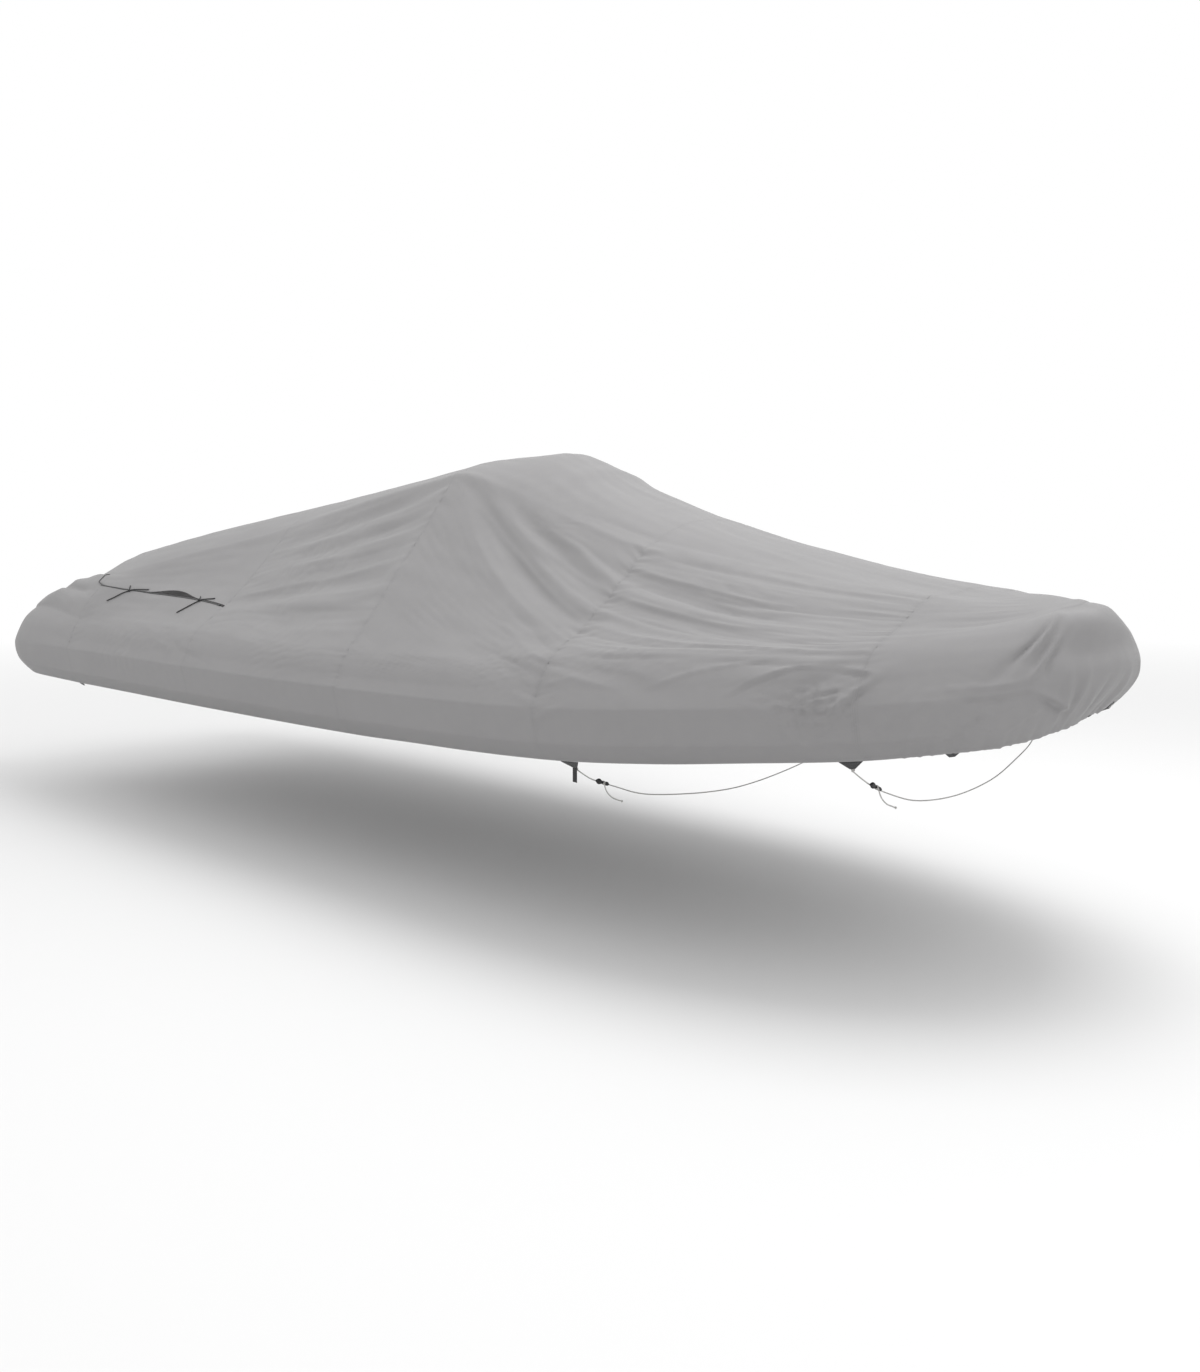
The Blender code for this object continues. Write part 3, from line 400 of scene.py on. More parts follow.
# Folds. Each is a route of (x, share across) points, the way it lies in metres wide, its
# height (a trough is below 0), and how sharp it is: 2 is a soft swell, 1.2 a pinched crease.
# A row lists the route's numbers first: x, share, x, share and so on.
mainFolds = (
    (-4.2, .53, -3.7, .535, -3.3, .54, .12, -.066, 2),
    (-3.85, .7, -3.55, .69, -3.25, .66, .09, .044, 2),
    (.47, .97, .66, .96, .9, .94, .2, -.034, 2),
    (1.12, .96, 1.36, .93, 1.6, .92, .12, -.022, 2),
    (1.85, .92, 2.32, .88, 2.75, .86, .2, -.034, 2),
    (.04, .99, .22, .975, .38, .96, .07, .012, 2),
    (.41, .72, .41, 1.28, .05, .016, 2),
    (-3.3, .58, -2.5, .49, -1.72, .43, .12, .022, 2),
    (-.33, .69, -.85, .665, -1.5, .655, .055, -.02, 2),
    (-.36, .655, -.85, .635, -1.45, .615, .05, .014, 1.6),
    (-.38, .62, -.8, .6, -1.3, .585, .05, -.014, 2),
    (-.42, .59, -.85, .57, -1.6, .55, .055, .018, 1.6),
    (-.4, .55, -.8, .535, -1.25, .515, .05, -.013, 2),
    (-.38, .5, -.95, .487, -1.68, .446, .065, -.03, 2),
    (-.38, .455, -.95, .442, -1.55, .425, .055, .016, 1.7),
    (-.4, .41, -.95, .4, -1.5, .415, .055, -.012, 2),
    (-.05, .69, .5, .577, 1.12, .445, .06, -.034, 2),
    (.08, .69, .55, .612, 1.13, .49, .05, .026, 1.6),
    (.18, .7, .65, .635, 1.13, .535, .05, -.02, 2),
    (.3, .7, .75, .662, 1.12, .59, .05, .018, 1.7),
    (0, .63, .35, .545, 1, .41, .07, .012, 2),
    (.3, .41, .8, .32, 1.12, .19, .08, -.014, 2),
    (.37, .72, .85, .745, 1.4, .785, .08, -.01, 2),
    (1.08, .63, 1.5, .59, 2, .51, .06, -.026, 2),
    (1.08, .585, 1.5, .545, 2.1, .45, .05, .014, 1.6),
    (1.08, .54, 1.6, .48, 2.25, .33, .055, -.022, 2),
    (1.08, .485, 1.6, .415, 2.33, .29, .05, -.014, 2),
    (1.05, .7, 1.6, .71, 2.25, .69, .07, -.014, 2),
    (1.1, .375, 1.5, .325, 2.17, .3, .06, .014, 1.8),
    (1.12, .3, 1.4, .26, 1.72, .18, .06, -.012, 2),
    (2.33, .25, 2.2, .165, 2.27, .07, .055, -.024, 2),
    (2, .22, 2.15, .25, 2.32, .28, .05, .014, 1.6),
    (2.46, .24, 2.38, .17, 2.31, .115, .05, .014, 1.7),
    (2.86, .26, 2.8, .21, 2.76, .17, .035, -.014, 2),
    (2.67, .125, 2.6, .09, 2.52, .06, .045, .012, 2),
)
fineFolds = (
    # pinched creases between the fan's main folds
    (-.3, .675, -.6, .66, -1, .648, .018, .007, 1.3),
    (-.3, .64, -.62, .622, -1.02, .606, .016, -.006, 1.3),
    (-.29, .605, -.55, .592, -.95, .584, .016, .006, 1.3),
    (-.28, .575, -.6, .56, -1.05, .553, .018, -.006, 1.3),
    (-.28, .535, -.65, .52, -1.2, .497, .018, .008, 1.3),
    (-.28, .478, -.62, .468, -1.1, .462, .02, .008, 1.3),
    (-.28, .43, -.6, .424, -1, .42, .018, -.006, 1.4),
    (-.28, .385, -.55, .38, -.9, .372, .02, .005, 1.4),
    (-.9, .64, -1.3, .628, -1.69, .625, .022, .006, 1.4),
    (-1, .51, -1.35, .492, -1.69, .468, .02, .007, 1.3),
    # from the corner down to the console seam
    (.05, .665, .5, .59, 1.1, .465, .018, .01, 1.3),
    (.22, .665, .62, .6, 1.1, .515, .016, -.008, 1.3),
    (.33, .655, .7, .615, 1.1, .56, .018, .008, 1.3),
    (.42, .69, .8, .665, 1.1, .618, .016, -.006, 1.3),
    (.1, .61, .55, .51, 1.1, .395, .02, .007, 1.4),
    (.62, .47, .85, .42, 1.1, .34, .018, -.007, 1.3),
    (.66, .43, .88, .372, 1.1, .3, .018, .006, 1.3),
    (.7, .36, .9, .31, 1.1, .245, .018, -.006, 1.3),
    (.55, .715, .95, .715, 1.5, .735, .02, .005, 1.4),
    (.6, .745, 1.1, .765, 1.7, .79, .022, -.005, 1.4),
    # forward of the console seam
    (1.1, .655, 1.45, .64, 1.95, .6, .018, .008, 1.3),
    (1.1, .61, 1.4, .585, 1.75, .548, .016, -.007, 1.3),
    (1.11, .56, 1.5, .52, 1.95, .455, .018, .008, 1.3),
    (1.11, .515, 1.45, .47, 1.85, .405, .016, -.007, 1.3),
    (1.11, .46, 1.6, .385, 2.2, .315, .018, .009, 1.3),
    (1.11, .425, 1.5, .37, 2.05, .318, .016, -.008, 1.3),
    (1.11, .395, 1.45, .348, 1.9, .325, .015, .006, 1.3),
    (1.11, .345, 1.35, .315, 1.75, .3, .016, -.006, 1.3),
    (1.11, .27, 1.3, .235, 1.5, .205, .018, .005, 1.4),
    (1.3, .735, 1.8, .725, 2.33, .715, .02, .005, 1.4),
    (1.6, .6, 2, .575, 2.38, .545, .022, -.006, 1.5),
    # long sharp creases that run out towards the fore seam
    (1.7, .365, 2.05, .325, 2.38, .305, .014, .01, 1.2),
    (1.6, .335, 2, .305, 2.36, .292, .012, -.007, 1.2),
    (1.62, .205, 1.8, .25, 2.08, .285, .015, .008, 1.2),
    (1.9, .28, 2.12, .262, 2.34, .262, .014, -.008, 1.2),
    # crumple low on the fore seam
    (2.2, .155, 2.25, .186, 2.32, .193, .013, .011, 1.4),
    (2.22, .14, 2.27, .159, 2.34, .172, .012, .014, 1.4),
    (2.23, .15, 2.28, .172, 2.34, .183, .01, -.01, 1.6),
    (2.23, .11, 2.25, .117, 2.3, .112, .013, .01, 1.4),
    (2.23, .125, 2.26, .133, 2.31, .13, .011, -.009, 1.5),
    (2.31, .12, 2.34, .139, 2.44, .215, .013, .012, 1.4),
    (2.35, .12, 2.39, .155, 2.47, .21, .012, -.008, 1.5),
    (2.32, .256, 2.39, .237, 2.44, .227, .012, .01, 1.3),
    (2.31, .241, 2.38, .224, 2.43, .213, .01, -.007, 1.4),
    (2.16, .114, 2.18, .093, 2.23, .062, .014, .007, 1.4),
    (2.1, .165, 2.16, .135, 2.2, .125, .014, -.006, 1.4),
    (1.96, .179, 2.03, .215, 2.16, .252, 2.31, .259, .009, .007, 1.4),
    (1.98, .17, 2.06, .209, 2.18, .243, 2.3, .25, .01, -.005, 1.6),
    (2.41, .2, 2.33, .175, 2.22, .14, .013, -.006, 1.3),
    (2.6, .14, 2.5, .11, 2.43, .085, .014, .006, 1.3),
    # slack on the tube's side, below the aft slit
    (-2.6, .3, -2.45, .22, -2.42, .15, .03, -.004, 1.6),
    (-2.3, .33, -2.1, .25, -1.85, .2, .03, .004, 1.6),
    (-2.05, .3, -1.8, .22, -1.45, .17, .028, -.004, 1.6),
)
# The bow's end is boxed: a ridge along its top, a flatter face below it, and creases that
# leave the ridge's corner. These go on round the tip: port is past the bow's x.
bowFolds = (
    (2.885, .322, 2.94, .29, 2.97, .284, 2.995, .292, 3.22, .33, .075, .03, 2),
    (2.9, .23, 2.95, .205, 2.99, .2, 3.06, .2, .06, -.01, 2),
    (2.86, .37, 2.99, .37, 3.12, .37, .22, .014, 2),
    (2.92, .52, 3, .52, 3.08, .52, .32, .014, 2),
    # creases that climb the face from the hem
    (2.905, .035, 2.925, .095, 2.93, .165, .016, .009, 1.8),
    (2.925, .03, 2.942, .09, 2.945, .14, .014, -.008, 1.8),
    (2.94, .06, 2.955, .12, 2.962, .19, .016, .007, 1.8),
    (2.8, .055, 2.845, .085, 2.875, .092, .014, .008, 1.6),
    (2.92, .262, 3.02, .25, 3.16, .245, .08, .022, 2),
    (2.925, .316, 2.87, .258, 2.84, .222, .017, .017, 1.6),
    (2.905, .306, 2.85, .253, 2.81, .219, .014, -.014, 1.6),
    (2.85, .246, 2.83, .228, 2.8, .199, .01, .007, 1.4),
    (2.84, .235, 2.82, .218, 2.79, .19, .01, -.006, 1.4),
    (2.91, .25, 2.86, .182, 2.85, .16, .017, .016, 1.6),
    (2.905, .27, 2.87, .212, 2.855, .185, .013, -.011, 1.6),
    (2.93, .262, 2.89, .195, 2.885, .165, .016, -.01, 1.8),
    (2.66, .168, 2.78, .163, 2.85, .166, .012, .008, 1.5),
    (2.67, .136, 2.78, .13, 2.86, .132, .014, -.009, 1.6),
    (2.85, .14, 2.9, .104, 2.94, .062, .018, .015, 1.6),
    (2.87, .118, 2.9, .085, 2.93, .05, .015, -.012, 1.6),
    (2.76, .118, 2.73, .102, 2.68, .078, .014, .008, 1.5),
    (2.74, .1, 2.7, .085, 2.66, .066, .012, -.006, 1.5),
    (2.8, .12, 2.72, .085, 2.62, .045, .014, .006, 1.4),
    # gathers that climb from the hem round the tip
    (2.96, .015, 2.968, .06, 2.974, .11, .016, .009, 1.8),
    (2.978, .01, 2.984, .07, 2.988, .125, .016, -.008, 1.8),
    (3.02, .015, 3.02, .075, 3.015, .12, .022, -.005, 1.8),
    (3.08, .02, 3.07, .09, 3.06, .15, .024, .005, 1.8),
    (3.22, .02, 3.2, .1, 3.17, .17, .022, .008, 1.8),
    (3.32, .02, 3.29, .08, 3.27, .13, .022, -.008, 1.8),
    # the port quarter's own creases
    (3.45, .3, 3.55, .23, 3.66, .17, .022, .01, 1.6),
    (3.5, .32, 3.62, .255, 3.74, .2, .018, -.009, 1.6),
    (3.42, .25, 3.5, .18, 3.56, .12, .02, -.008, 1.6),
)
foldStart, foldEnd, foldReach = .12, .88, 2.6
mainShare, fineShare = .60, .85

# the deck's cloth runs out to a point at the bow, and lies smooth there
tipCalm = {"from": 2.72, "over": .20, "share": .295, "shareOver": .060}

# Puckers along a seam: where, how far apart, how high, how far they run to each side, and
# how much they climb as they go
puckerColumns = ("x", "low", "high", "every", "height", "aft", "fore", "aftClimb", "foreClimb", "seed")
puckers = [dict(zip(puckerColumns, row)) for row in (
    (-3.2, .15, .52, .04, .0035, .1, .12, .5, .6, 3),
    (-1.7, .12, .7, .06, .0022, .07, .07, .2, -.2, 5),
    (-.25, .15, .69, .034, .0042, .085, .014, .05, 0, 8),
    (1.1, .1, .72, .033, .0056, .075, .085, .55, .45, 13),
    (1.1, .72, .99, .05, .0018, .05, .05, .2, .1, 14),
    (2.4, .08, .34, .032, .004, .055, .045, .5, .2, 21),
    (2.4, .34, .8, .055, .002, .05, .04, .2, .1, 22),
)]
# how unlike one another they are, how they widen and fade, and how far off they still count
puckerLook = {
    "jitter": .3, "long": (.45, 1.25), "high": (.35, 1.25), "half": (.24, .36), "tilt": (.7, 1.3),
    "widening": .8, "fade": 1.5, "within": 3,
}
seamGroove = {"depth": .0008, "width": .008, "rise": 14}

# Gathers under the bow, where the hem's cord draws the cloth in
hemGathers = (
    {"from": 2.45, "every": .034, "height": .0040, "reach": .060, "lean": .25, "seed": 31},
    {"from": 2.62, "every": .080, "height": .0045, "reach": .120, "lean": .15, "seed": 33},
)

gatherLook = {"jitter": .3, "half": (.2, .34), "long": (.6, 1.5), "high": (.4, 1.2), "fade": 1.4, "over": .1}

# Patches of slack, unfolded cloth: x, share across, radius, height and ripple length
slackPatches = (
    (-2.45, .22, .50, .0022, .11), (-1.95, .24, .45, .0020, .12), (2.20, .16, .26, .0035, .075),
    (2.27, .150, .19, .0080, .052), (.85, .28, .35, .0022, .09), (1.45, .33, .40, .0024, .09),
    (2.62, .12, .30, .0026, .08), (-.70, .25, .60, .0016, .15), (1.75, .66, .55, .0018, .14),
    (-1.10, .56, .55, .0024, .08),
)
slackLook = {"edge": 1.6, "middle": .6, "seed": 60, "count": 5}

# Unevenness all over: height, wave length, seed and the way it leans, on the slope only
slopeRipples, slopeFrom = ((.0022, .42, 41, 1.3), (.0009, .13, 43, 1.45)), (.20, .38)
allRipples = {"height": .0007, "length": .30, "seed": 47, "rise": 8, "least": .2}


def routePairs(fold):
    return list(zip(fold[:-3:2], fold[1:-3:2]))


def routeDistance(x, along, route):
    best, spot = np.full(x.shape, 1e9), np.zeros(x.shape)
    points = [np.array(point) for point in route]
    for k, (start, end) in enumerate(zip(points, points[1:])):
        run = end - start
        dx, dy = x - start[0], along - start[1]
        t = np.clip((dx * run[0] + dy * run[1]) / (run @ run), 0, 1)
        away = np.hypot(dx - run[0] * t, dy - run[1] * t)
        closer = away < best
        best, spot = np.where(closer, away, best), np.where(closer, (k + t) / (len(points) - 1), spot)
    return best, spot


def foldHeights(run, across, folds):
    along, total = across * halfGirth, np.zeros(run.shape)
    for fold in folds:
        width, height, sharpness = fold[-3:]
        route = [(float(alongHull(px)), share * halfGirth) for px, share in routePairs(fold)]
        near, reach = np.ones(run.shape, bool), foldReach * width
        for place, spots in zip((run, along), zip(*route)):
            near &= (place > min(spots) - reach) & (place < max(spots) + reach)
        away, spot = routeDistance(run[near], along[near], route)
        fade = np.sin(math.pi * between(foldStart, foldEnd, spot))
        total[near] += height * fade * np.exp(-((away / width) ** sharpness))
    return total


def puckerHeights(x, across):
    look, along, total = puckerLook, across * halfGirth, np.zeros(x.shape)
    for row in puckers:
        draw = np.random.default_rng(row["seed"])
        spots = np.arange(row["low"] * halfGirth, row["high"] * halfGirth, row["every"])
        off = x - row["x"]
        near = (off > -look["within"] * row["aft"]) & (off < look["within"] * row["fore"])
        d, s = off[near], along[near]
        climb, part = np.where(d < 0, -d * row["aftClimb"], d * row["foreClimb"]), np.zeros(d.shape)
        for spot in spots:
            spot += draw.uniform(-look["jitter"], look["jitter"]) * row["every"]
            lengthAft = row["aft"] * draw.uniform(*look["long"])
            lengthFore = row["fore"] * draw.uniform(*look["long"])
            height = row["height"] * draw.uniform(*look["high"])
            half, tilt = row["every"] * draw.uniform(*look["half"]), draw.uniform(*look["tilt"])
            reach = np.where(d < 0, -d / lengthAft, d / lengthFore)
            ridge = ((s - spot - climb * tilt) / (half * (1 + look["widening"] * reach))) ** 2
            part += height * np.exp(-(reach ** look["fade"])) * np.exp(-ridge)
        total[near] += part
    return total


# soft uneven ripples: a few crossing waves, the same each run
rippleLengths, rippleLeans = (.7, 1.5), .35


def ripples(x, along, length, seed, count=7, leaning=None):
    draw, total = np.random.default_rng(seed), np.zeros(np.shape(x))
    for _ in range(count):
        angle = draw.uniform(0, math.tau) if leaning is None else draw.normal(leaning, rippleLeans)
        k = math.tau / (length * draw.uniform(*rippleLengths))
        total += np.sin(k * (x * math.cos(angle) + along * math.sin(angle)) + draw.uniform(0, math.tau))
    return total / math.sqrt(count)


# Fine streaks run the way the folds lie. Between two seams a smooth field keeps one value
# along each fold, and the streaks are waves across that field.
streakLook = {
    "lengths": (.034, .043, .057, .078), "height": .0016, "easing": .004, "usual": .05, "knots": 5,
    "beside": .1, "middle": .6, "fadeLow": .08, "fadeHigh": .05,
    # windows in which they show, and how the waves wander: ripple length, first seed, count
    "window": (.34, 70, 4), "wander": (1.1, 80, 3), "open": (.25, .7), "drawnOut": .6, "phase": (1.7, .9),
    # where they show: from x to x, from share to share, and how strongly
    "zones": ((-1.70, -.25, .36, .72, 1.0), (-.25, 1.10, .26, .76, 1.0), (1.10, 2.40, .26, .76, .9)),
}


def fieldAlongFolds(folds):
    spots, values = [], []
    for fold in folds:
        run = np.array([(px, share * halfGirth) for px, share in routePairs(fold)])
        knots = np.linspace(0, len(run) - 1, streakLook["knots"])
        spots += [[np.interp(k, range(len(run)), run[:, axis]) for axis in (0, 1)] for k in knots]
        values += [run[:, 1].mean()] * len(knots)
    spots, values = np.array(spots), np.array(values)
    apart = np.linalg.norm(spots[:, None] - spots[None], axis=-1)
    flat = np.column_stack([np.ones(len(spots)), spots])
    bends = apart**3 + streakLook["easing"] * np.eye(len(spots))
    whole = np.block([[bends, flat], [flat.T, np.zeros((3, 3))]])
    weights = np.linalg.solve(whole, np.concatenate([values, np.zeros(3)]))

    def field(x, along):
        total = weights[-3] + weights[-2] * x + weights[-1] * along
        for (px, py), weight in zip(spots, weights):
            total = total + weight * np.hypot(x - px, along - py) ** 3
        return total

    return field


def foldsBetween(start, end):
    beside = streakLook["beside"]
    return [fold for fold in mainFolds if start - beside < routePairs(fold)[1][0] < end + beside]


streakFields = [fieldAlongFolds(foldsBetween(start, end)) for start, end, *_ in streakLook["zones"]]


def streakHeights(x, across):
    look, along, total = streakLook, across * halfGirth, np.zeros(x.shape)
    (window, seed, count), (wander, other, waves) = look["window"], look["wander"]
    (least, opened), (turned, loose) = look["open"], look["phase"]
    for field, (start, end, low, high, strength) in zip(streakFields, look["zones"]):
        near = (x >= start) & (x < end) & (across > low - look["beside"]) & (across < high + look["beside"])
        d, a, share = x[near], along[near], across[near]
        lay, part = field(d, a), np.zeros(d.shape)
        for number, length in enumerate(look["lengths"]):
            shown = ripples(d * look["drawnOut"], a, window, seed + number, count)
            phase = turned * number + loose * ripples(d, a, wander, other + number, waves)
            wave = look["middle"] - np.abs(np.sin(math.pi * lay / length + phase))
            part += np.clip(least + opened * shown, 0, 1) * (length / look["usual"]) * wave
        edge = np.clip((share - low) / look["fadeLow"] + 1, 0, 1)
        edge *= np.clip((high - share) / look["fadeHigh"] + 1, 0, 1)
        total[near] += look["height"] * strength * edge * part
    return total


def gatherHeights(x, along):
    look, total, roundBow = gatherLook, np.zeros(x.shape), arcRoundBow(x)
    for gather in hemGathers:
        draw, near = np.random.default_rng(gather["seed"]), x > gather["from"]
        s, part = along[near], np.zeros(along[near].shape)
        for spot in np.arange(arcRoundBow(gather["from"]), bowArc[-1], gather["every"]):
            spot += draw.uniform(-look["jitter"], look["jitter"]) * gather["every"]
            half = gather["every"] * draw.uniform(*look["half"])
            reach = gather["reach"] * draw.uniform(*look["long"])
            high = gather["height"] * draw.uniform(*look["high"])
            away = (roundBow[near] - spot - s * gather["lean"]) / half
            part += high * np.exp(-(away**2)) * np.exp(-((s / (reach * 2)) ** look["fade"]))
        total[near] += part * np.clip((x[near] - gather["from"]) / look["over"], 0, 1)
    return total


def reliefHeights(x, across, port):
    along, run = across * halfGirth, alongHull(x)
    total = mainShare * foldHeights(run, across, mainFolds) + fineShare * foldHeights(run, across, fineFolds)
    total += puckerHeights(x, across) + streakHeights(x, across)
    for seam in seamX.values():
        grooveShade = np.exp(-(((x - seam) / seamGroove["width"]) ** 2))
        total -= seamGroove["depth"] * grooveShade * np.clip(across * seamGroove["rise"], 0, 1)
    for height, length, seed, leaning in slopeRipples:
        total += height * shareOf(across, *slopeFrom) * ripples(x, along, length, seed, leaning=leaning)
    waves = ripples(x, along, allRipples["length"], allRipples["seed"])
    total += allRipples["height"] * waves * np.clip(across * allRipples["rise"], allRipples["least"], 1)
    for number, (px, share, radius, height, length) in enumerate(slackPatches):
        away = np.hypot(x - px, along - share * halfGirth) / radius
        creased = np.abs(ripples(x, along, length, slackLook["seed"] + number, slackLook["count"]))
        total += np.exp(-((away * slackLook["edge"]) ** 2)) * height * (creased - slackLook["middle"])
    total += gatherHeights(x, along)
    calm = smoothStep((x - tipCalm["from"]) / tipCalm["over"])
    calm *= smoothStep((across - tipCalm["share"]) / tipCalm["shareOver"])
    tip = float(alongHull(shape["bowX"]))
    return total * (1 - calm) + foldHeights(np.where(port, 2 * tip - run, run), across, bowFolds)


# how far round the bow a station is, measured along the widest line
bowFrom, bowSteps = 2.0, 900
bowStations = bowFrom + (shape["bowX"] - bowFrom) * np.sin(np.linspace(0, math.pi / 2, bowSteps))
bowOutline = np.stack([bowStations, halfBeamAt(bowStations)], -1)
bowArc = np.concatenate([[0], np.cumsum(np.hypot(*np.diff(bowOutline, axis=0).T))])


def arcRoundBow(x):
    return np.interp(x, bowStations, bowArc)


# metres along the hull's side: x itself, then the way round the bow and on past its tip
def alongHull(x):
    x = np.asarray(x, float)
    return np.minimum(x, bowFrom) + arcRoundBow(x) + np.maximum(0, x - shape["bowX"])


def outward(x, across):
    step = shape["nearby"]
    ahead, behind = np.minimum(x + step, shape["bowX"]), np.maximum(x - step, shape["sternX"])
    forward = tautCloth(ahead, across) - tautCloth(behind, across)
    inward = tautCloth(x, np.minimum(across + step, 1)) - tautCloth(x, np.maximum(across - step, 0))
    normal = np.cross(forward, inward)
    return normal / np.maximum(np.linalg.norm(normal, axis=-1, keepdims=True), 1e-9)


def drapedCloth(x, across, port=False):
    x, across, port = np.broadcast_arrays(np.asarray(x, float), np.asarray(across, float), port)
    place = tautCloth(x, across) + outward(x, across) * reliefHeights(x, across, port)[..., None]
    place[..., 1] = np.where((across >= 1) | (x >= shape["bowX"]), 0, place[..., 1])
    return place


# Sheets. Metres between a sheet's lines: in the tuck, up the side, on the slope and over the
# crown, and port is how much wider they are to port. "at" is the x they are spaced at.
pitches = {
    "stern": {"tuck": .013, "side": .013, "slope": .013, "crown": .016, "port": 1.1, "at": -3.5},
    "arch": {"tuck": .013, "side": .013, "slope": .0125, "crown": .016, "port": 1.15, "at": -2.45},
    "middle": {
        "tuck": .012, "side": .009, "slope": .009, "crown": .015, "port": 1.45, "at": seamX["console"],
    },
    "bow": {"tuck": .0115, "side": .011, "slope": .0115, "crown": .015, "port": 1.3, "at": 2.6},
}
alongPitch = {"stern": .0135, "arch": .0140, "seat": .0125, "console": .0120, "fore": .0105, "bow": .0115}
edgeLines = (0, .003, .008, .014, .021)  # closer lines beside a seam
hemLines = (.004, .010, .017, .0245)  # and above the hem
afterHem, sampled, weldWithin = .002, 1200, 2e-5


def linesAlong(start, end, pitch):
    inner = np.linspace(start + edgeLines[-1], end - edgeLines[-1], max(2, round((end - start) / pitch)))
    first, last = start + np.array(edgeLines[:-1]), end - np.array(edgeLines[:-1])[::-1]
    return np.concatenate([first, inner, last])


# shares from hem to ridge, spaced by their real distance at one x
def sharesAcross(pitch, low=0.0, high=1.0, wider=1.0):
    fine = np.linspace(low, high, sampled)
    place = tautCloth(np.full(fine.shape, pitch["at"]), fine)
    steps = np.linalg.norm(np.diff(place, axis=0), axis=1)
    middle = (fine[1:] + fine[:-1]) / 2
    zones, zonePitches = (strakeTop, leaving, shoulder), (pitch["tuck"], pitch["side"], pitch["slope"])
    wanted = np.select([middle < zone for zone in zones], zonePitches, pitch["crown"])
    progress = np.concatenate([[0], np.cumsum(steps / (wanted * wider))])
    count = max(4, round(progress[-1]))
    shares = np.interp(np.linspace(0, progress[-1], count + 1), progress, fine)
    for crease in (strakeFoot, strakeTop):  # a line lies on each crease of the strake
        if low < crease < high:
            shares[np.argmin(np.abs(shares - crease))] = crease
    if low == 0.0:
        hem = np.interp(hemLines, np.concatenate([[0], np.cumsum(steps)]), fine)
        shares = np.concatenate([[0], hem, shares[shares > hem[-1] + afterHem]])
    return shares


# A grid whose rows run along the boat and columns from starboard to port, moved on to points
def gridBmesh(points, maps):
    rows, columns = points.shape[:2]
    bm = bmesh.new()
    bmesh.ops.create_grid(bm, x_segments=rows - 1, y_segments=columns - 1, size=1)
    layers, spots = [(bm.loops.layers.uv.new(name), values) for name, values in maps.items()], {}
    for vertex in bm.verts:
        spot = round((vertex.co.x + 1) / 2 * (rows - 1)), round((vertex.co.y + 1) / 2 * (columns - 1))
        spots[vertex.index], vertex.co = spot, points[spot]
    for face in bm.faces:
        for loop in face.loops:
            for layer, values in layers:
                loop[layer].uv = values[spots[loop.vert.index]]
    return bm


def lengthsAlong(points, axis):
    steps = np.linalg.norm(np.diff(points, axis=axis), axis=-1)
    pad = [(0, 0), (0, 0)]
    pad[axis] = (1, 0)
    return np.pad(np.cumsum(steps, axis=axis), pad)


def meshFrom(name, bm):
    mesh = bpy.data.meshes.new(name)
    bm.to_mesh(mesh)
    bm.free()
    return mesh


def finishPiece(name, data, finish, nodes=(), thickness=None):
    piece = placed(name, data)
    data.materials.append(finishes[finish])
    data.shade_smooth()
    if thickness:
        used = np.zeros(len(data.loops), np.int32)
        data.loops.foreach_get("edge_index", used)
        openEdges = np.bincount(used, minlength=len(data.edges)) == 1
        data.attributes.new("sharp_edge", "BOOLEAN", "EDGE").data.foreach_set("value", openEdges)
        solidify = piece.modifiers.new("thickness", "SOLIDIFY")
        solidify.thickness, solidify.offset = thickness, -1
    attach(piece, "root")
    if nodes:
        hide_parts(*nodes)
    return piece


def sheetPiece(name, bm, node=None, weld=False):
    if weld:
        bmesh.ops.remove_doubles(bm, verts=bm.verts, dist=weldWithin)
        bmesh.ops.dissolve_degenerate(bm, edges=bm.edges, dist=1e-6)
    node = node or "panel_" + name
    return finishPiece("cover_" + name, meshFrom(node, bm), "cloth", [node], clothThickness)


# The cord draws the hem up round the bow, further to port: x and how far up
bowHem = {
    "starboard": ((2.70, 0), (2.85, -.007), (2.95, -.027), (2.995, -.040)),
    "port": ((2.40, 0), (2.50, .010), (2.70, .030), (2.78, .045), (2.85, .060), (2.95, .040), (2.995, -.040)),
    "reach": .22, "ease": 1.5,
}


def hemRise(x, across, port):
    starboardRise, portRise = (np.interp(x, *zip(*bowHem[side])) for side in flanks)
    fade = np.clip(1 - across / bowHem["reach"], 0, 1) ** bowHem["ease"]
    return np.where(port, portRise, starboardRise) * fade


mirror, noEdge = np.array((1, -1, 1)), 9.0


# rows of x by columns of share, on both sides or one; a piece's maps carry real lengths
def sheetPoints(x, across, port):
    points = drapedCloth(x, across, port)
    points[..., 2] += hemRise(x, across, port)
    points[..., 1] = np.where(port, -points[..., 1], points[..., 1])
    return points


def sheetMaps(points, startU=0.0, seams=(True, True), hems=(True, True)):
    u, v = lengthsAlong(points, 0), lengthsAlong(points, 1)
    far = np.full(u.shape, noEdge)
    seam = np.minimum(u if seams[0] else far, u[-1:] - u if seams[1] else far)
    hem = np.minimum(v if hems[0] else far, v[:, -1:] - v if hems[1] else far)
    return {"cloth": np.stack([u + startU, v], -1), "edges": np.stack([seam, hem], -1)}


def bothSides(shares, portShares):
    across = np.concatenate([shares, portShares[::-1][1:]])
    return across[None, :], (np.arange(len(across)) >= len(shares))[None, :]


def panelShares(pitch):
    return sharesAcross(pitch), sharesAcross(pitch, wider=pitch["port"])


middleShares = bothSides(*panelShares(pitches["middle"]))


def wholePanel(name, start, end):
    xs = linesAlong(start + seamGap / 2, end - seamGap / 2, alongPitch[name])
    points = sheetPoints(xs[:, None], *middleShares)
    return sheetPiece(name, gridBmesh(points, sheetMaps(points, start))), points


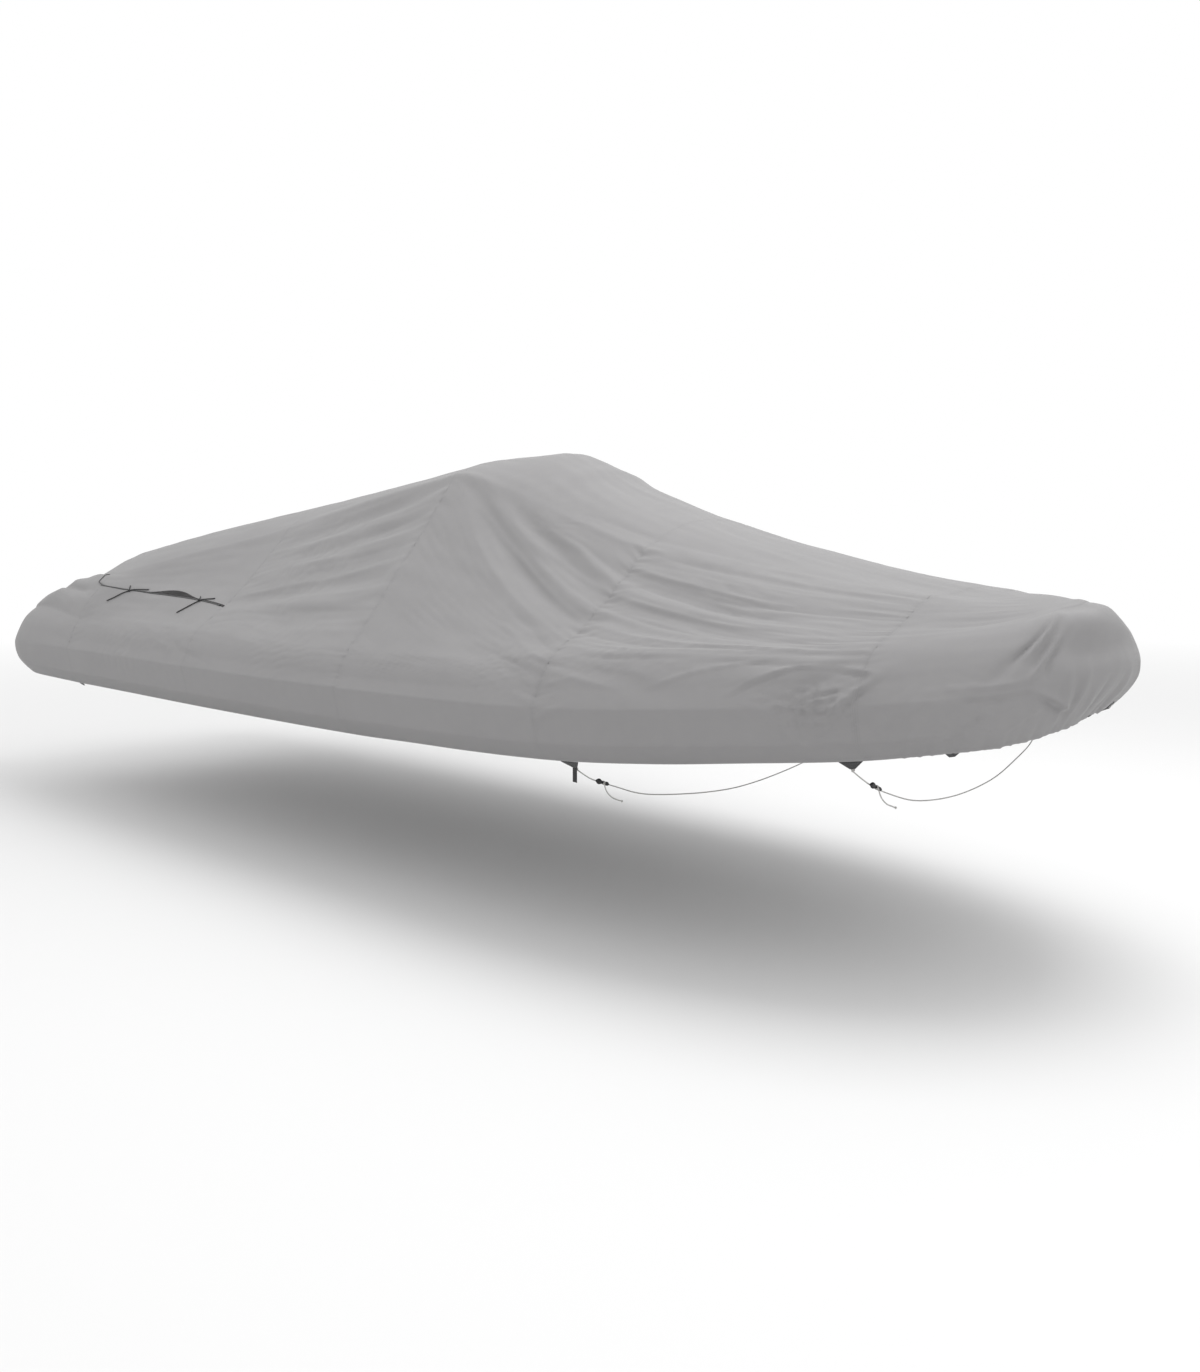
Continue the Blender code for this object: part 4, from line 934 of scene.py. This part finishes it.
def bowPanel():
    startArc, endArc = arcRoundBow(seamX["fore"] + seamGap / 2), bowArc[-1]
    arcs = linesAlong(startArc, endArc + edgeLines[-1], alongPitch["bow"])
    arcs = np.append(arcs[arcs < endArc - alongPitch["bow"] / 2], endArc)
    xs = np.interp(arcs, bowArc, bowStations)
    points = sheetPoints(xs[:, None], *bothSides(*panelShares(pitches["bow"])))
    bm = gridBmesh(points, sheetMaps(points, seamX["fore"], seams=(True, False)))
    return sheetPiece("bow", bm, weld=True), points


# The hood over each tube's end, cut in one with the stern panel: it starts as high as the
# panel's edge and slopes down to the tube's round end
hood = {
    "length": .43, "centreY": .905, "centreHeight": .965, "radius": .285, "widest": .305, "power": 3.3,
    "highest": .60, "tucked": math.radians(128), "inner": math.radians(200), "slope": 1.35, "fill": .9,
    "rows": 34, "innerColumns": 46, "ripple": (.010, 5, 2.2),
}


def hoodPoints(shares):
    outer = shares[shares <= hood["highest"] + 1e-9]
    front = drapedCloth(np.full(outer.shape, shape["sternX"]), outer)
    centreY, centreZ = -hood["centreY"], hood["centreHeight"] - supportHeight
    offOut, offUp = centreY - front[:, 1], front[:, 2] - centreZ
    reach, turn = np.hypot(offOut, offUp), np.arctan2(offUp, offOut)
    inner = np.linspace(turn[-1], hood["inner"], hood["innerColumns"] + 1)[1:]
    eased = 1 - smoothStep((inner - turn[-1]) / (hood["tucked"] - turn[-1]))
    reach = np.concatenate([reach, hood["radius"] + (reach[-1] - hood["radius"]) * eased])
    turn = np.concatenate([turn, inner])
    share = np.sin(np.linspace(1, 0, hood["rows"])[:, None] * math.pi / 2) ** hood["fill"]
    onTube, (height, waves, phase) = np.minimum(reach, hood["widest"]), hood["ripple"]
    ripple = 1 + height * np.sin(waves * turn + phase) * np.sin(math.pi * share) * (share > 0)
    out = onTube * np.sqrt(np.maximum(0, 1 - share ** hood["power"])) * ripple
    out = out + (reach - onTube) * (1 - share) ** hood["slope"]
    x = np.broadcast_to(shape["sternX"] - hood["length"] * share, out.shape)
    return np.stack([x, centreY - out * np.cos(turn), centreZ + out * np.sin(turn)], -1)


def sternPanel():
    xs = linesAlong(shape["sternX"], seamX["stern"] - seamGap / 2, alongPitch["stern"])
    starboard, port = panelShares(pitches["stern"])
    points = sheetPoints(xs[:, None], *bothSides(starboard, port))
    bm = gridBmesh(points, sheetMaps(points, shape["sternX"], seams=(False, True)))
    for end in (hoodPoints(starboard), hoodPoints(port)[:, ::-1] * mirror):
        maps = sheetMaps(end, shape["sternX"] - hood["length"], seams=(False, False))
        part = meshFrom("hood", gridBmesh(end, maps))
        bm.from_mesh(part)
        bpy.data.meshes.remove(part)
    return sheetPiece("stern", bm, weld=True), points


# The slit that the radar arch's leg comes through, laced over its dark edging
slit = {
    "lip": ((-3.25, .583), (-2.89, .531), (-2.51, .488), (-2.01, .450), (-1.67, .425)),
    "slopeLength": 1.55, "gap": .013, "legX": -2.35, "legHalf": .34, "legWidth": .038,
    "edging": .0042, "flat": .8, "spare": 5, "tack": 1.35, "tackRows": 3,
    # its thin tail: how far up the panel, where, and how far it stands off the cloth
    "tailShares": (.600, .700), "tailX": (-3.262, -3.31), "tailLift": .0032, "tailWidth": .62, "tailRows": 24,
}


def lipShare(x):
    return smoothBetween(*zip(*slit["lip"]), x)


def farLipShare(x):
    off = (x - slit["legX"]) / slit["legHalf"]
    opening = np.where(np.abs(off) < 1, slit["legWidth"] * np.cos(math.pi / 2 * off) ** 2, 0)
    return lipShare(x) + (slit["gap"] + opening) / slit["slopeLength"]


def archPanels():
    pitch, start, end = pitches["arch"], seamX["stern"], seamX["arch"]
    xs, made = linesAlong(start + seamGap / 2, end - seamGap / 2, alongPitch["arch"])[:, None], []
    lip, far = float(lipShare(pitch["at"])), float(farLipShare(pitch["at"]))
    for side in flanks:
        onPort = side == "port"
        shares = sharesAcross(pitch, high=lip, wider=pitch["port"] if onPort else 1.0)[None, :]
        stretch = (lipShare(xs) - leaving) / (lip - leaving)
        across = np.where(shares <= leaving, shares, leaving + (shares - leaving) * stretch)
        points = sheetPoints(xs, across, False)
        if onPort:
            points = points[:, ::-1] * mirror
        bm = gridBmesh(points, sheetMaps(points, start, hems=(not onPort, onPort)))
        made.append((sheetPiece("arch_" + side, bm), points))
    half = sharesAcross(pitch, low=far)
    across, onPort = bothSides(half, half)
    stretch = (shoulder - farLipShare(xs)) / (shoulder - far)
    across = np.where(across >= shoulder, across, farLipShare(xs) + (across - far) * stretch)
    points = sheetPoints(xs, across, onPort)
    bm = gridBmesh(points, sheetMaps(points, start, hems=(False, False)))
    return made + [(sheetPiece("arch_top", bm), points)]


# The flap that drops from the stern edge between the tubes
flap = {
    "foot": 1.00, "half": .93, "clear": .006, "billow": .035, "waves": 3, "leastDrop": .004, "rows": 30,
    "columns": 150, "hang": (.004, 29, 1.2, 7), "swing": (.7, .3), "evenness": 4,
}


def sternFlap():
    shares = np.linspace(leaving, 1, 300)
    edge = drapedCloth(np.full(shares.shape, shape["sternX"]), shares)
    y = np.linspace(-flap["half"], flap["half"], flap["columns"] + 1)[None, :]
    top = np.interp(np.abs(y), -edge[::-1, 1], edge[::-1, 2])
    beside, radius = np.abs(np.abs(y) - hood["centreY"]), hood["radius"] + flap["clear"]
    overTube = hood["centreHeight"] + np.sqrt(np.maximum(0, radius**2 - beside**2))
    foot = np.minimum(np.maximum(flap["foot"], overTube) - supportHeight, top - flap["leastDrop"])
    t = np.linspace(0, 1, flap["rows"] + 1)[:, None]
    usual, swing = flap["swing"]
    wave = usual - swing * np.cos(math.tau * flap["waves"] * y / flap["half"])
    inside = np.maximum(0, 1 - (np.abs(y) / (hood["centreY"] - hood["radius"])) ** flap["evenness"])
    depth, folds, bend, bends = flap["hang"]
    hang = depth * np.sin(folds * y + bend * np.sin(bends * y)) * t * inside
    x = shape["sternX"] - seamGap - clothThickness - flap["billow"] * t * inside * wave - np.abs(hang)
    points = np.stack(np.broadcast_arrays(x, y, between(top, foot, t)), -1)
    maps = {name: values[:, ::-1] for name, values in sheetMaps(points, seams=(True, False)).items()}
    return sheetPiece("stern_flap", gridBmesh(points[:, ::-1], maps), "stern_flap"), points


# Round pieces: a tube along a path, with its own lengths as its map


def smoothPath(points, per=4):
    points = [Vector(p) for p in points]
    ends = [points[0] * 2 - points[1]] + points + [points[-1] * 2 - points[-2]]
    fine = []
    for p0, p1, p2, p3 in zip(ends, ends[1:], ends[2:], ends[3:]):
        slope, bend, twist = p2 - p0, p0 * 2 - p1 * 5 + p2 * 4 - p3, p1 * 3 - p0 - p2 * 3 + p3
        for t in (k / per for k in range(per)):
            fine.append((p1 * 2 + slope * t + bend * t**2 + twist * t**3) / 2)
    return fine + [points[-1]]


def edgesWithin(bm, ring):
    return [edge for edge in bm.edges if edge.verts[0] in ring and edge.verts[1] in ring]


def tubeBmesh(path, radii, sides, flat):
    bm = bmesh.new()
    run, turn = bm.verts.layers.float.new("run"), bm.verts.layers.float.new("turn")
    ahead = [(b - a).normalized() for a, b in zip(path, path[1:])]
    ahead.append(ahead[-1])
    first = bmesh.ops.create_circle(bm, segments=sides, radius=1)["verts"]
    ring, across, before, length = first, ahead[0].orthogonal(), Matrix(), 0.0
    for k, vertex in enumerate(ring):
        vertex[turn] = k / sides
    for k, (point, radius) in enumerate(zip(path, radii)):
        way = ahead[k] if k == 0 else (ahead[k - 1] + ahead[k]).normalized()
        across = (across - way * across.dot(way)).normalized()
        turned = Matrix((across * radius, way.cross(across) * radius * flat, way)).transposed().to_4x4()
        place = Matrix.Translation(point) @ turned
        if k:
            length += (point - path[k - 1]).length
            made = bmesh.ops.extrude_edge_only(bm, edges=edgesWithin(bm, ring))["geom"]
            ring = set(g for g in made if isinstance(g, bmesh.types.BMVert))
        bmesh.ops.transform(bm, matrix=place @ before.inverted(), verts=list(ring))
        for vertex in ring:
            vertex[run] = length
        ring, before = set(ring), place
    for loop in (set(first), ring):
        bmesh.ops.edgeloop_fill(bm, edges=[edge for edge in edgesWithin(bm, loop) if edge.is_boundary])
    bmesh.ops.recalc_face_normals(bm, faces=bm.faces)
    layer, edges = bm.loops.layers.uv.new("cloth"), bm.loops.layers.uv.new("edges")
    for face in bm.faces:
        turns = [loop.vert[turn] for loop in face.loops]
        wraps = max(turns) - min(turns) > .5
        for loop, value in zip(face.loops, turns):
            loop[layer].uv = (loop.vert[run], value + 1 if wraps and value < .5 else value)
            loop[edges].uv = (1, 1)
    return bm


def tubePiece(name, path, radius, finish, nodes=(), swells=None, sides=10, flat=1.0):
    radii = [radius * swell for swell in swells or [1] * len(path)]
    return finishPiece(name, meshFrom(name, tubeBmesh(path, radii, sides, flat)), finish, nodes)


# A tight overhand knot on a cord, its size from the cord's radius
knotLook = {"steps": 42, "depth": 1.3, "squeezed": .92}


def knotPiece(name, centre, axis, radius, finish, grip=1.55):
    turned = Vector(axis).normalized().to_track_quat("Z", "Y").to_matrix()
    path = []
    for k in range(knotLook["steps"] + 1):
        t = math.tau * k / knotLook["steps"]
        out, up = math.sin(t) + 2 * math.sin(2 * t), math.cos(t) - 2 * math.cos(2 * t)
        spot = Vector((out, up, -knotLook["depth"] * math.sin(3 * t)))
        path.append(Vector(centre) + turned @ (spot * radius * grip / 2))
    return tubePiece(name, path, radius * knotLook["squeezed"], finish, sides=8)


# Draw cords under the boat, from tab to tab. Routes are x, y and height above the ground.
drawCords = {
    "fore": {
        "length": 1.57, "tailLength": .147, "step": .048,
        "exit": (2.33412, -.73909, -1.23087), "away": (-.2643, .68232, -.6816),
        "route": ((2.345, -.65, .802), (2.345, -.52, .748), (2.345, -.3, .686), (2.345, 0, .662)),
        "tail": (
            (2.3643, -.615, -1.3116), (2.3681, -.5986, -1.3498), (2.3724, -.5685, -1.3785),
            (2.3751, -.5297, -1.3944), (2.3763, -.51, -1.4016),
        ),
        "tightener": (2.35505, -.64924, -1.29639), "along": (.00359, .9138, -.40615),
        "facing": (.99999, -.00328, .00146),
    },
    "mid": {
        "length": 2.11, "tailLength": .141, "step": .062,
        "exit": (1.1945, -1.00881, -1.33904), "away": (-.01358, .75722, -.65302),
        "route": ((1.215, -.96, .716), (1.22, -.82, .662), (1.225, -.56, .586), (1.225, 0, .535)),
        "tail": (
            (1.237, -.8854, -1.4124), (1.2403, -.8734, -1.4503), (1.2444, -.8455, -1.4789),
            (1.2476, -.8093, -1.4958), (1.249, -.7904, -1.5024),
        ),
        "tightener": (1.22721, -.92044, -1.39963), "along": (.01806, .93901, -.34341),
        "facing": (.99984, -.01696, .0062),
    },
}
# the cord's own radius, and the steps along it past its exit where its knot sits
cordLook = {"radius": .0025, "knotSteps": (.0009, .0049, .0119, .0179), "endKnot": .8, "endGrip": 1.3}
tightener = {
    "length": .075, "thickness": .012, "waist": .0055, "wraps": 3, "wrapSteps": 14, "wrapFrom": .50,
    "wrapOver": .15, "wrapShare": .62, "swell": .25, "swellAt": .57, "squareness": .35,
    "thinning": .7, "inset": .98,
    "profile": (
        (0, 0), (.03, .006), (.12, .011), (.24, .012), (.36, .009), (.44, .0055), (.70, .0055), (.78, .008),
        (.90, .008), (.97, .005), (1, 0),
    ),
}


def evenPath(points, step):
    fine = smoothPath(points, 16)
    lengths = np.concatenate([[0], np.cumsum([(b - a).length for a, b in zip(fine, fine[1:])])])
    wanted = np.linspace(0, lengths[-1], max(2, round(lengths[-1] / step)) + 1)
    places = np.array([list(p) for p in fine])
    return [Vector([np.interp(w, lengths, places[:, axis]) for axis in range(3)]) for w in wanted]


def toPort(points):
    return [Vector((p[0], -p[1], p[2])) for p in points]


def declareCord(way, length, start=None):
    tuple(start or way[0])
    [tuple(p) for p in way]


def drawCord(name, cord):
    start, away, radius = Vector(cord["exit"]), Vector(cord["away"]), cordLook["radius"]
    knot = [start + away * step for step in cordLook["knotSteps"]]
    half = knot[-1:] + [Vector((x, y, height - supportHeight)) for x, y, height in cord["route"]]
    route = knot[:-1] + evenPath(half + toPort(half[:-1])[::-1], cord["step"]) + toPort(knot[:-1])[::-1]
    for side, flip in zip(flanks, (list, toPort)):
        centre, axis = flip([knot[1].lerp(knot[2], .5), away])
        knotPiece(f"cord_knot_{name}_{side}", centre, axis, radius, "cord")
    piece = tubePiece("draw_cord_" + name, smoothPath(route, 3), radius, "cord", ["cord_" + name])
    declareCord(route, cord["length"], cord["exit"])
    cordTightener(name, cord)
    tailPath = smoothPath(cord["tail"], 8)
    last, ahead, endRadius = tailPath[-1], tailPath[-1] - tailPath[-2], radius * cordLook["endKnot"]
    end = knotPiece("tail_knot_" + name, last, ahead, endRadius, "cord", cordLook["endGrip"])
    tail = tubePiece("cord_tail_" + name, tailPath, radius, "cord", ["tail_" + name])
    declareCord(tailPath[::2], cord["tailLength"], cord["tail"][0])


# A moulded cleat: a long lobe, a narrow waist that the cord is wound on, and a short lobe
def cordTightener(name, cord):
    place, along, facing = (Vector(cord[key]) for key in ("tightener", "along", "facing"))
    facing = (facing - along * facing.dot(along)).normalized()
    across, waist = facing.cross(along), tightener["waist"]
    length, half = tightener["length"], tightener["thickness"] / 2
    bm = bmesh.new()
    bmesh.ops.create_uvsphere(bm, u_segments=28, v_segments=30, radius=1)
    for vertex in bm.verts:
        t, off = (vertex.co.z + 1) / 2, math.hypot(vertex.co.x, vertex.co.y)
        width = np.interp(t, *zip(*tightener["profile"]))
        swell = 1 - tightener["swell"] * math.cos(math.tau * (t - tightener["swellAt"]))
        thick = half * min(1.0, width / waist) ** tightener["thinning"] * swell
        u, v = (vertex.co.x / off, vertex.co.y / off) if off > 1e-6 else (0, 0)
        square = max(abs(u), abs(v)) ** -tightener["squareness"] if off > 1e-6 else 1
        wide = across * u * min(width, width * square)
        high = facing * v * min(thick, half) * tightener["inset"]
        vertex.co = place + along * length * t + wide + high
    bmesh.ops.recalc_face_normals(bm, faces=bm.faces)
    finishPiece("tightener_body_" + name, meshFrom(name, bm), "plastic", ["tightener_" + name])
    count, radius = tightener["wraps"] * tightener["wrapSteps"], cordLook["radius"] * tightener["wrapShare"]
    wraps, wide, high = [], across * (waist + radius), facing * (half + radius)
    for k in range(count + 1):
        angle = math.tau * k / tightener["wrapSteps"]
        spot = place + along * length * (tightener["wrapFrom"] + tightener["wrapOver"] * k / count)
        wraps.append(spot + wide * math.cos(angle) + high * math.sin(angle))
    tubePiece("tightener_wrap_" + name, wraps, radius, "cord", sides=7)


# Laces over the slit: the way of each on the starboard side, and where its knot sits
laces = {
    "aft": {
        "way": (
            (-2.9893, -1.0314, -.8101), (-2.9389, -1.0093, -.7867), (-2.8886, -.9851, -.7614),
            (-2.8522, -.9725, -.7425), (-2.8326, -.9692, -.7318), (-2.8137, -.9602, -.7286),
            (-2.7754, -.9421, -.7298), (-2.7359, -.9331, -.7289), (-2.6967, -.9257, -.7294),
            (-2.6573, -.9185, -.7283),
        ),
        "knot": 4, "length": .37,
    },
    "fore": {
        "way": (
            (-2.1299, -1.0107, -.8451), (-2.0965, -.9917, -.8277), (-2.0634, -.9719, -.8091),
            (-2.0298, -.9525, -.7911), (-2.0124, -.9462, -.7796), (-1.9945, -.9418, -.7679),
            (-1.976, -.9335, -.7644), (-1.9377, -.9193, -.7647), (-1.8989, -.9144, -.7623),
            (-1.8601, -.909, -.7596),
        ),
        "knot": 5, "length": .312,
    },
}
# their radius and spare end, the way off the cloth, and how they are laid on it
laceLook = {
    "radius": .0035, "spare": .050, "lean": .35, "grip": 1.15, "off": Vector((0, -.62, .78)), "drop": .06,
    "clear": .0006, "spareOff": 1.2, "spareWidth": .9, "spareSteps": 7, "knotOff": .8,
}


def surfaceTree(pieces):
    bpy.context.view_layer.update()
    graph, joined = bpy.context.evaluated_depsgraph_get(), bmesh.new()
    for piece in pieces:
        mesh = bpy.data.meshes.new_from_object(piece.evaluated_get(graph))
        joined.from_mesh(mesh)
        bpy.data.meshes.remove(mesh)
    tree = BVHTree.FromBMesh(joined)
    joined.free()
    return tree


def laid(tree, path, radius):
    rested, drop = [], laceLook["drop"]
    for k, point in enumerate(path):
        ahead = (path[min(k + 1, len(path) - 1)] - path[max(k - 1, 0)]).normalized()
        lift = (laceLook["off"] - ahead * laceLook["off"].dot(ahead)).normalized()
        beside, heights = ahead.cross(lift), []
        for aside in (-radius, 0, radius):
            hit, _, _, distance = tree.ray_cast(point + beside * aside + lift * drop, -lift, drop * 2)
            if hit:
                heights.append(drop - distance)
        rested.append(point + lift * (max(heights) + radius + laceLook["clear"]) if heights else point)
    eased = [(a + b * 2 + c) / 4 for a, b, c in zip(rested, rested[1:], rested[2:])]
    return [rested[0], *eased, rested[-1]]


def lacing(name, tree):
    lace, radius, off = laces[name], laceLook["radius"], laceLook["off"]
    path = laid(tree, smoothPath(lace["way"], 3), radius)
    middle, run = path[lace["knot"] * 3], path[-1] - path[0]
    up = run.cross(off).normalized()
    if up.z < 0:
        up = -up
    start, way = middle + off * radius * laceLook["spareOff"], run.normalized()
    steps = np.linspace(0, laceLook["spare"], laceLook["spareSteps"])
    spareRadius = radius * laceLook["spareWidth"]
    spare = laid(tree, [start + up * step - way * step * laceLook["lean"] for step in steps], spareRadius)
    for side, flip in zip(flanks, (list, toPort)):
        whole, (centre, axis) = flip(path), flip([middle + off * radius * laceLook["knotOff"], run])
        knot = knotPiece(f"lace_knot_{name}_{side}", centre, axis, radius, "lace", laceLook["grip"])
        end = tubePiece(f"lace_end_{name}_{side}", flip(spare), spareRadius, "lace", sides=8)
        piece = tubePiece(f"lace_{name}_{side}", whole, radius, "lace", [f"tie_{name}_{side}"], sides=8)
        declareCord(whole, lace["length"])


# Black edging tape closes the slit's lower lip, with a bar tack at each end. Past the aft
# end it narrows to a line that runs up the panel.
def slitEdging(side, points):
    lip, inner = (points[:, -1], points[:, -2]) if side == "starboard" else (points[:, 0], points[:, 1])
    beyond = lip - inner
    beyond /= np.linalg.norm(beyond, axis=1, keepdims=True)
    rim = (lip + beyond * (slit["edging"] + seamGap))[slit["spare"]:-slit["spare"]]
    shares = np.linspace(*slit["tailShares"], slit["tailRows"])[::-1]
    xs = np.interp(shares, slit["tailShares"], slit["tailX"])
    rising = drapedCloth(xs, shares) + outward(xs, shares) * slit["tailLift"]
    if side == "port":
        rising = rising * mirror
    tacks = [slit["tack"]] * slit["tackRows"]
    swells = [slit["tailWidth"]] * len(rising) + tacks + [1.0] * (len(rim) - 2 * len(tacks)) + tacks
    return tubePiece(
        "slit_edging_" + side, [Vector(p) for p in (*rising, *rim)], slit["edging"], "webbing",
        ["slit_binding_" + side], swells, sides=8, flat=slit["flat"],
    )


# Webbing tabs under the hem and the straps that hang from them, from their solids
webbingPieces = ("tab_stern", "tab_mid", "tab_fore", "tab_bow", "strap_mid")
webbingEdges = {"bevel": .0005, "long": .012, "cuts": 7, "flatWithin": math.radians(2)}


def webbingPiece(node):
    bm = bmesh.new()
    bm.from_mesh(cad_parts[node].data)
    bmesh.ops.remove_doubles(bm, verts=bm.verts, dist=1e-5)
    bmesh.ops.dissolve_limit(bm, angle_limit=webbingEdges["flatWithin"], verts=bm.verts, edges=bm.edges)
    rise = float(hemRise(max(v.co.x for v in bm.verts), 0.0, node.endswith("port")))
    bmesh.ops.translate(bm, vec=(0, 0, rise), verts=bm.verts)
    largest = max(bm.faces, key=lambda f: f.calc_area())
    normal, centre = largest.normal.copy(), largest.calc_center_median()
    longest = max(largest.edges, key=lambda e: e.calc_length())
    along = (longest.verts[1].co - longest.verts[0].co).normalized()
    down = normal.cross(along)
    bevel = webbingEdges["bevel"]
    bmesh.ops.bevel(bm, geom=bm.edges, offset=bevel, affect="EDGES", segments=2, profile=.5, material=-1)
    spans = [e for e in bm.edges if e.calc_length() > webbingEdges["long"]]
    bmesh.ops.subdivide_edges(bm, edges=spans, cuts=webbingEdges["cuts"], use_grid_fill=True)
    bmesh.ops.triangulate(bm, faces=[f for f in bm.faces if len(f.verts) > 4])
    layer, edges = bm.loops.layers.uv.new("cloth"), bm.loops.layers.uv.new("edges")
    for face in bm.faces:
        for loop in face.loops:
            off = loop.vert.co - centre
            loop[layer].uv, loop[edges].uv = (off.dot(along), off.dot(down)), (1, 1)
    return finishPiece("webbing_" + node, meshFrom(node, bm), "webbing", [node])


# Studio: a pale floor, a white surround and soft light from above and ahead
studio = {
    "floorColour": (.80, .80, .80), "floorSize": 40, "surround": (1.0, 1.0, 1.0), "surroundStrength": 1.0,
    "fadeFrom": 6.5, "fadeOver": 10.0,
    "lamps": (
        # name, place, aim, width, power
        ("overhead", (2.0, 1.0, 5.5), (-.3, 0, -.6), 4.5, 250),
        ("ahead", (7.5, -1.0, 1.5), (0, 0, -.9), 4.0, 10),
    ),
}


def makeStudio(settings):
    bm = bmesh.new()
    bmesh.ops.create_grid(bm, x_segments=2, y_segments=2, size=settings["floorSize"])
    bmesh.ops.translate(bm, vec=(0, 0, -supportHeight), verts=bm.verts)
    floor = placed("floor", meshFrom("floor", bm))
    shade = Shade("floor paint", settings["floorColour"], .9)
    surround, strength = (*settings["surround"], 1), settings["surroundStrength"]
    # far off, the floor glows as the surround does, so no line shows between them
    place = shade.node("ShaderNodeTexCoord", output="Object")
    away = shade.node("ShaderNodeVectorMath", {"operation": "LENGTH"}, {0: place}, "Value")
    fade = shade.node("ShaderNodeClamp", {}, {0: (away - settings["fadeFrom"]) / settings["fadeOver"]})
    glow = shade.node("ShaderNodeEmission", {}, {"Color": surround, "Strength": strength})
    paint = Signal(shade, shade.shader.outputs[0])
    both = shade.node("ShaderNodeMixShader", {}, {0: fade, 1: paint, 2: glow})
    shade.tree.links.new(both.socket, shade.tree.nodes["Material Output"].inputs["Surface"])
    floor.data.materials.append(shade.material)
    world = bpy.data.worlds.new("surround")
    world.use_nodes = True
    bpy.context.scene.world = world
    for number, value in enumerate((surround, strength)):
        world.node_tree.nodes["Background"].inputs[number].default_value = value
    for name, place, aim, width, power in settings["lamps"]:
        data = bpy.data.lights.new(name, "AREA")
        data.size, data.energy = width, power
        lamp = placed(name, data)
        lamp.location = place
        lamp.rotation_euler = (Vector(aim) - Vector(place)).to_track_quat("-Z", "Y").to_euler()


makeStudio(studio)

for name, cord in drawCords.items():
    drawCord(name, cord)
print("draw cords made")

panels = {"stern": sternPanel(), "seat": wholePanel("seat", seamX["arch"], seamX["seat"])}
panels["arch_starboard"], panels["arch_port"], panels["arch_top"] = archPanels()
panels["console"] = wholePanel("console", seamX["seat"], seamX["console"])
panels["fore"] = wholePanel("fore", seamX["console"], seamX["fore"])
panels["bow"] = bowPanel()
panels["flap"] = sternFlap()
print("panels made:", {name: len(piece.data.polygons) for name, (piece, points) in panels.items()})

tape = {side: slitEdging(side, panels["arch_" + side][1]) for side in flanks}
webbing = {(kind, side): webbingPiece(f"{kind}_{side}") for kind in webbingPieces for side in flanks}
tree = surfaceTree([panels["arch_top"][0], panels["arch_starboard"][0], tape["starboard"]])
for name in laces:
    lacing(name, tree)
print("edging, webbing and laces made")
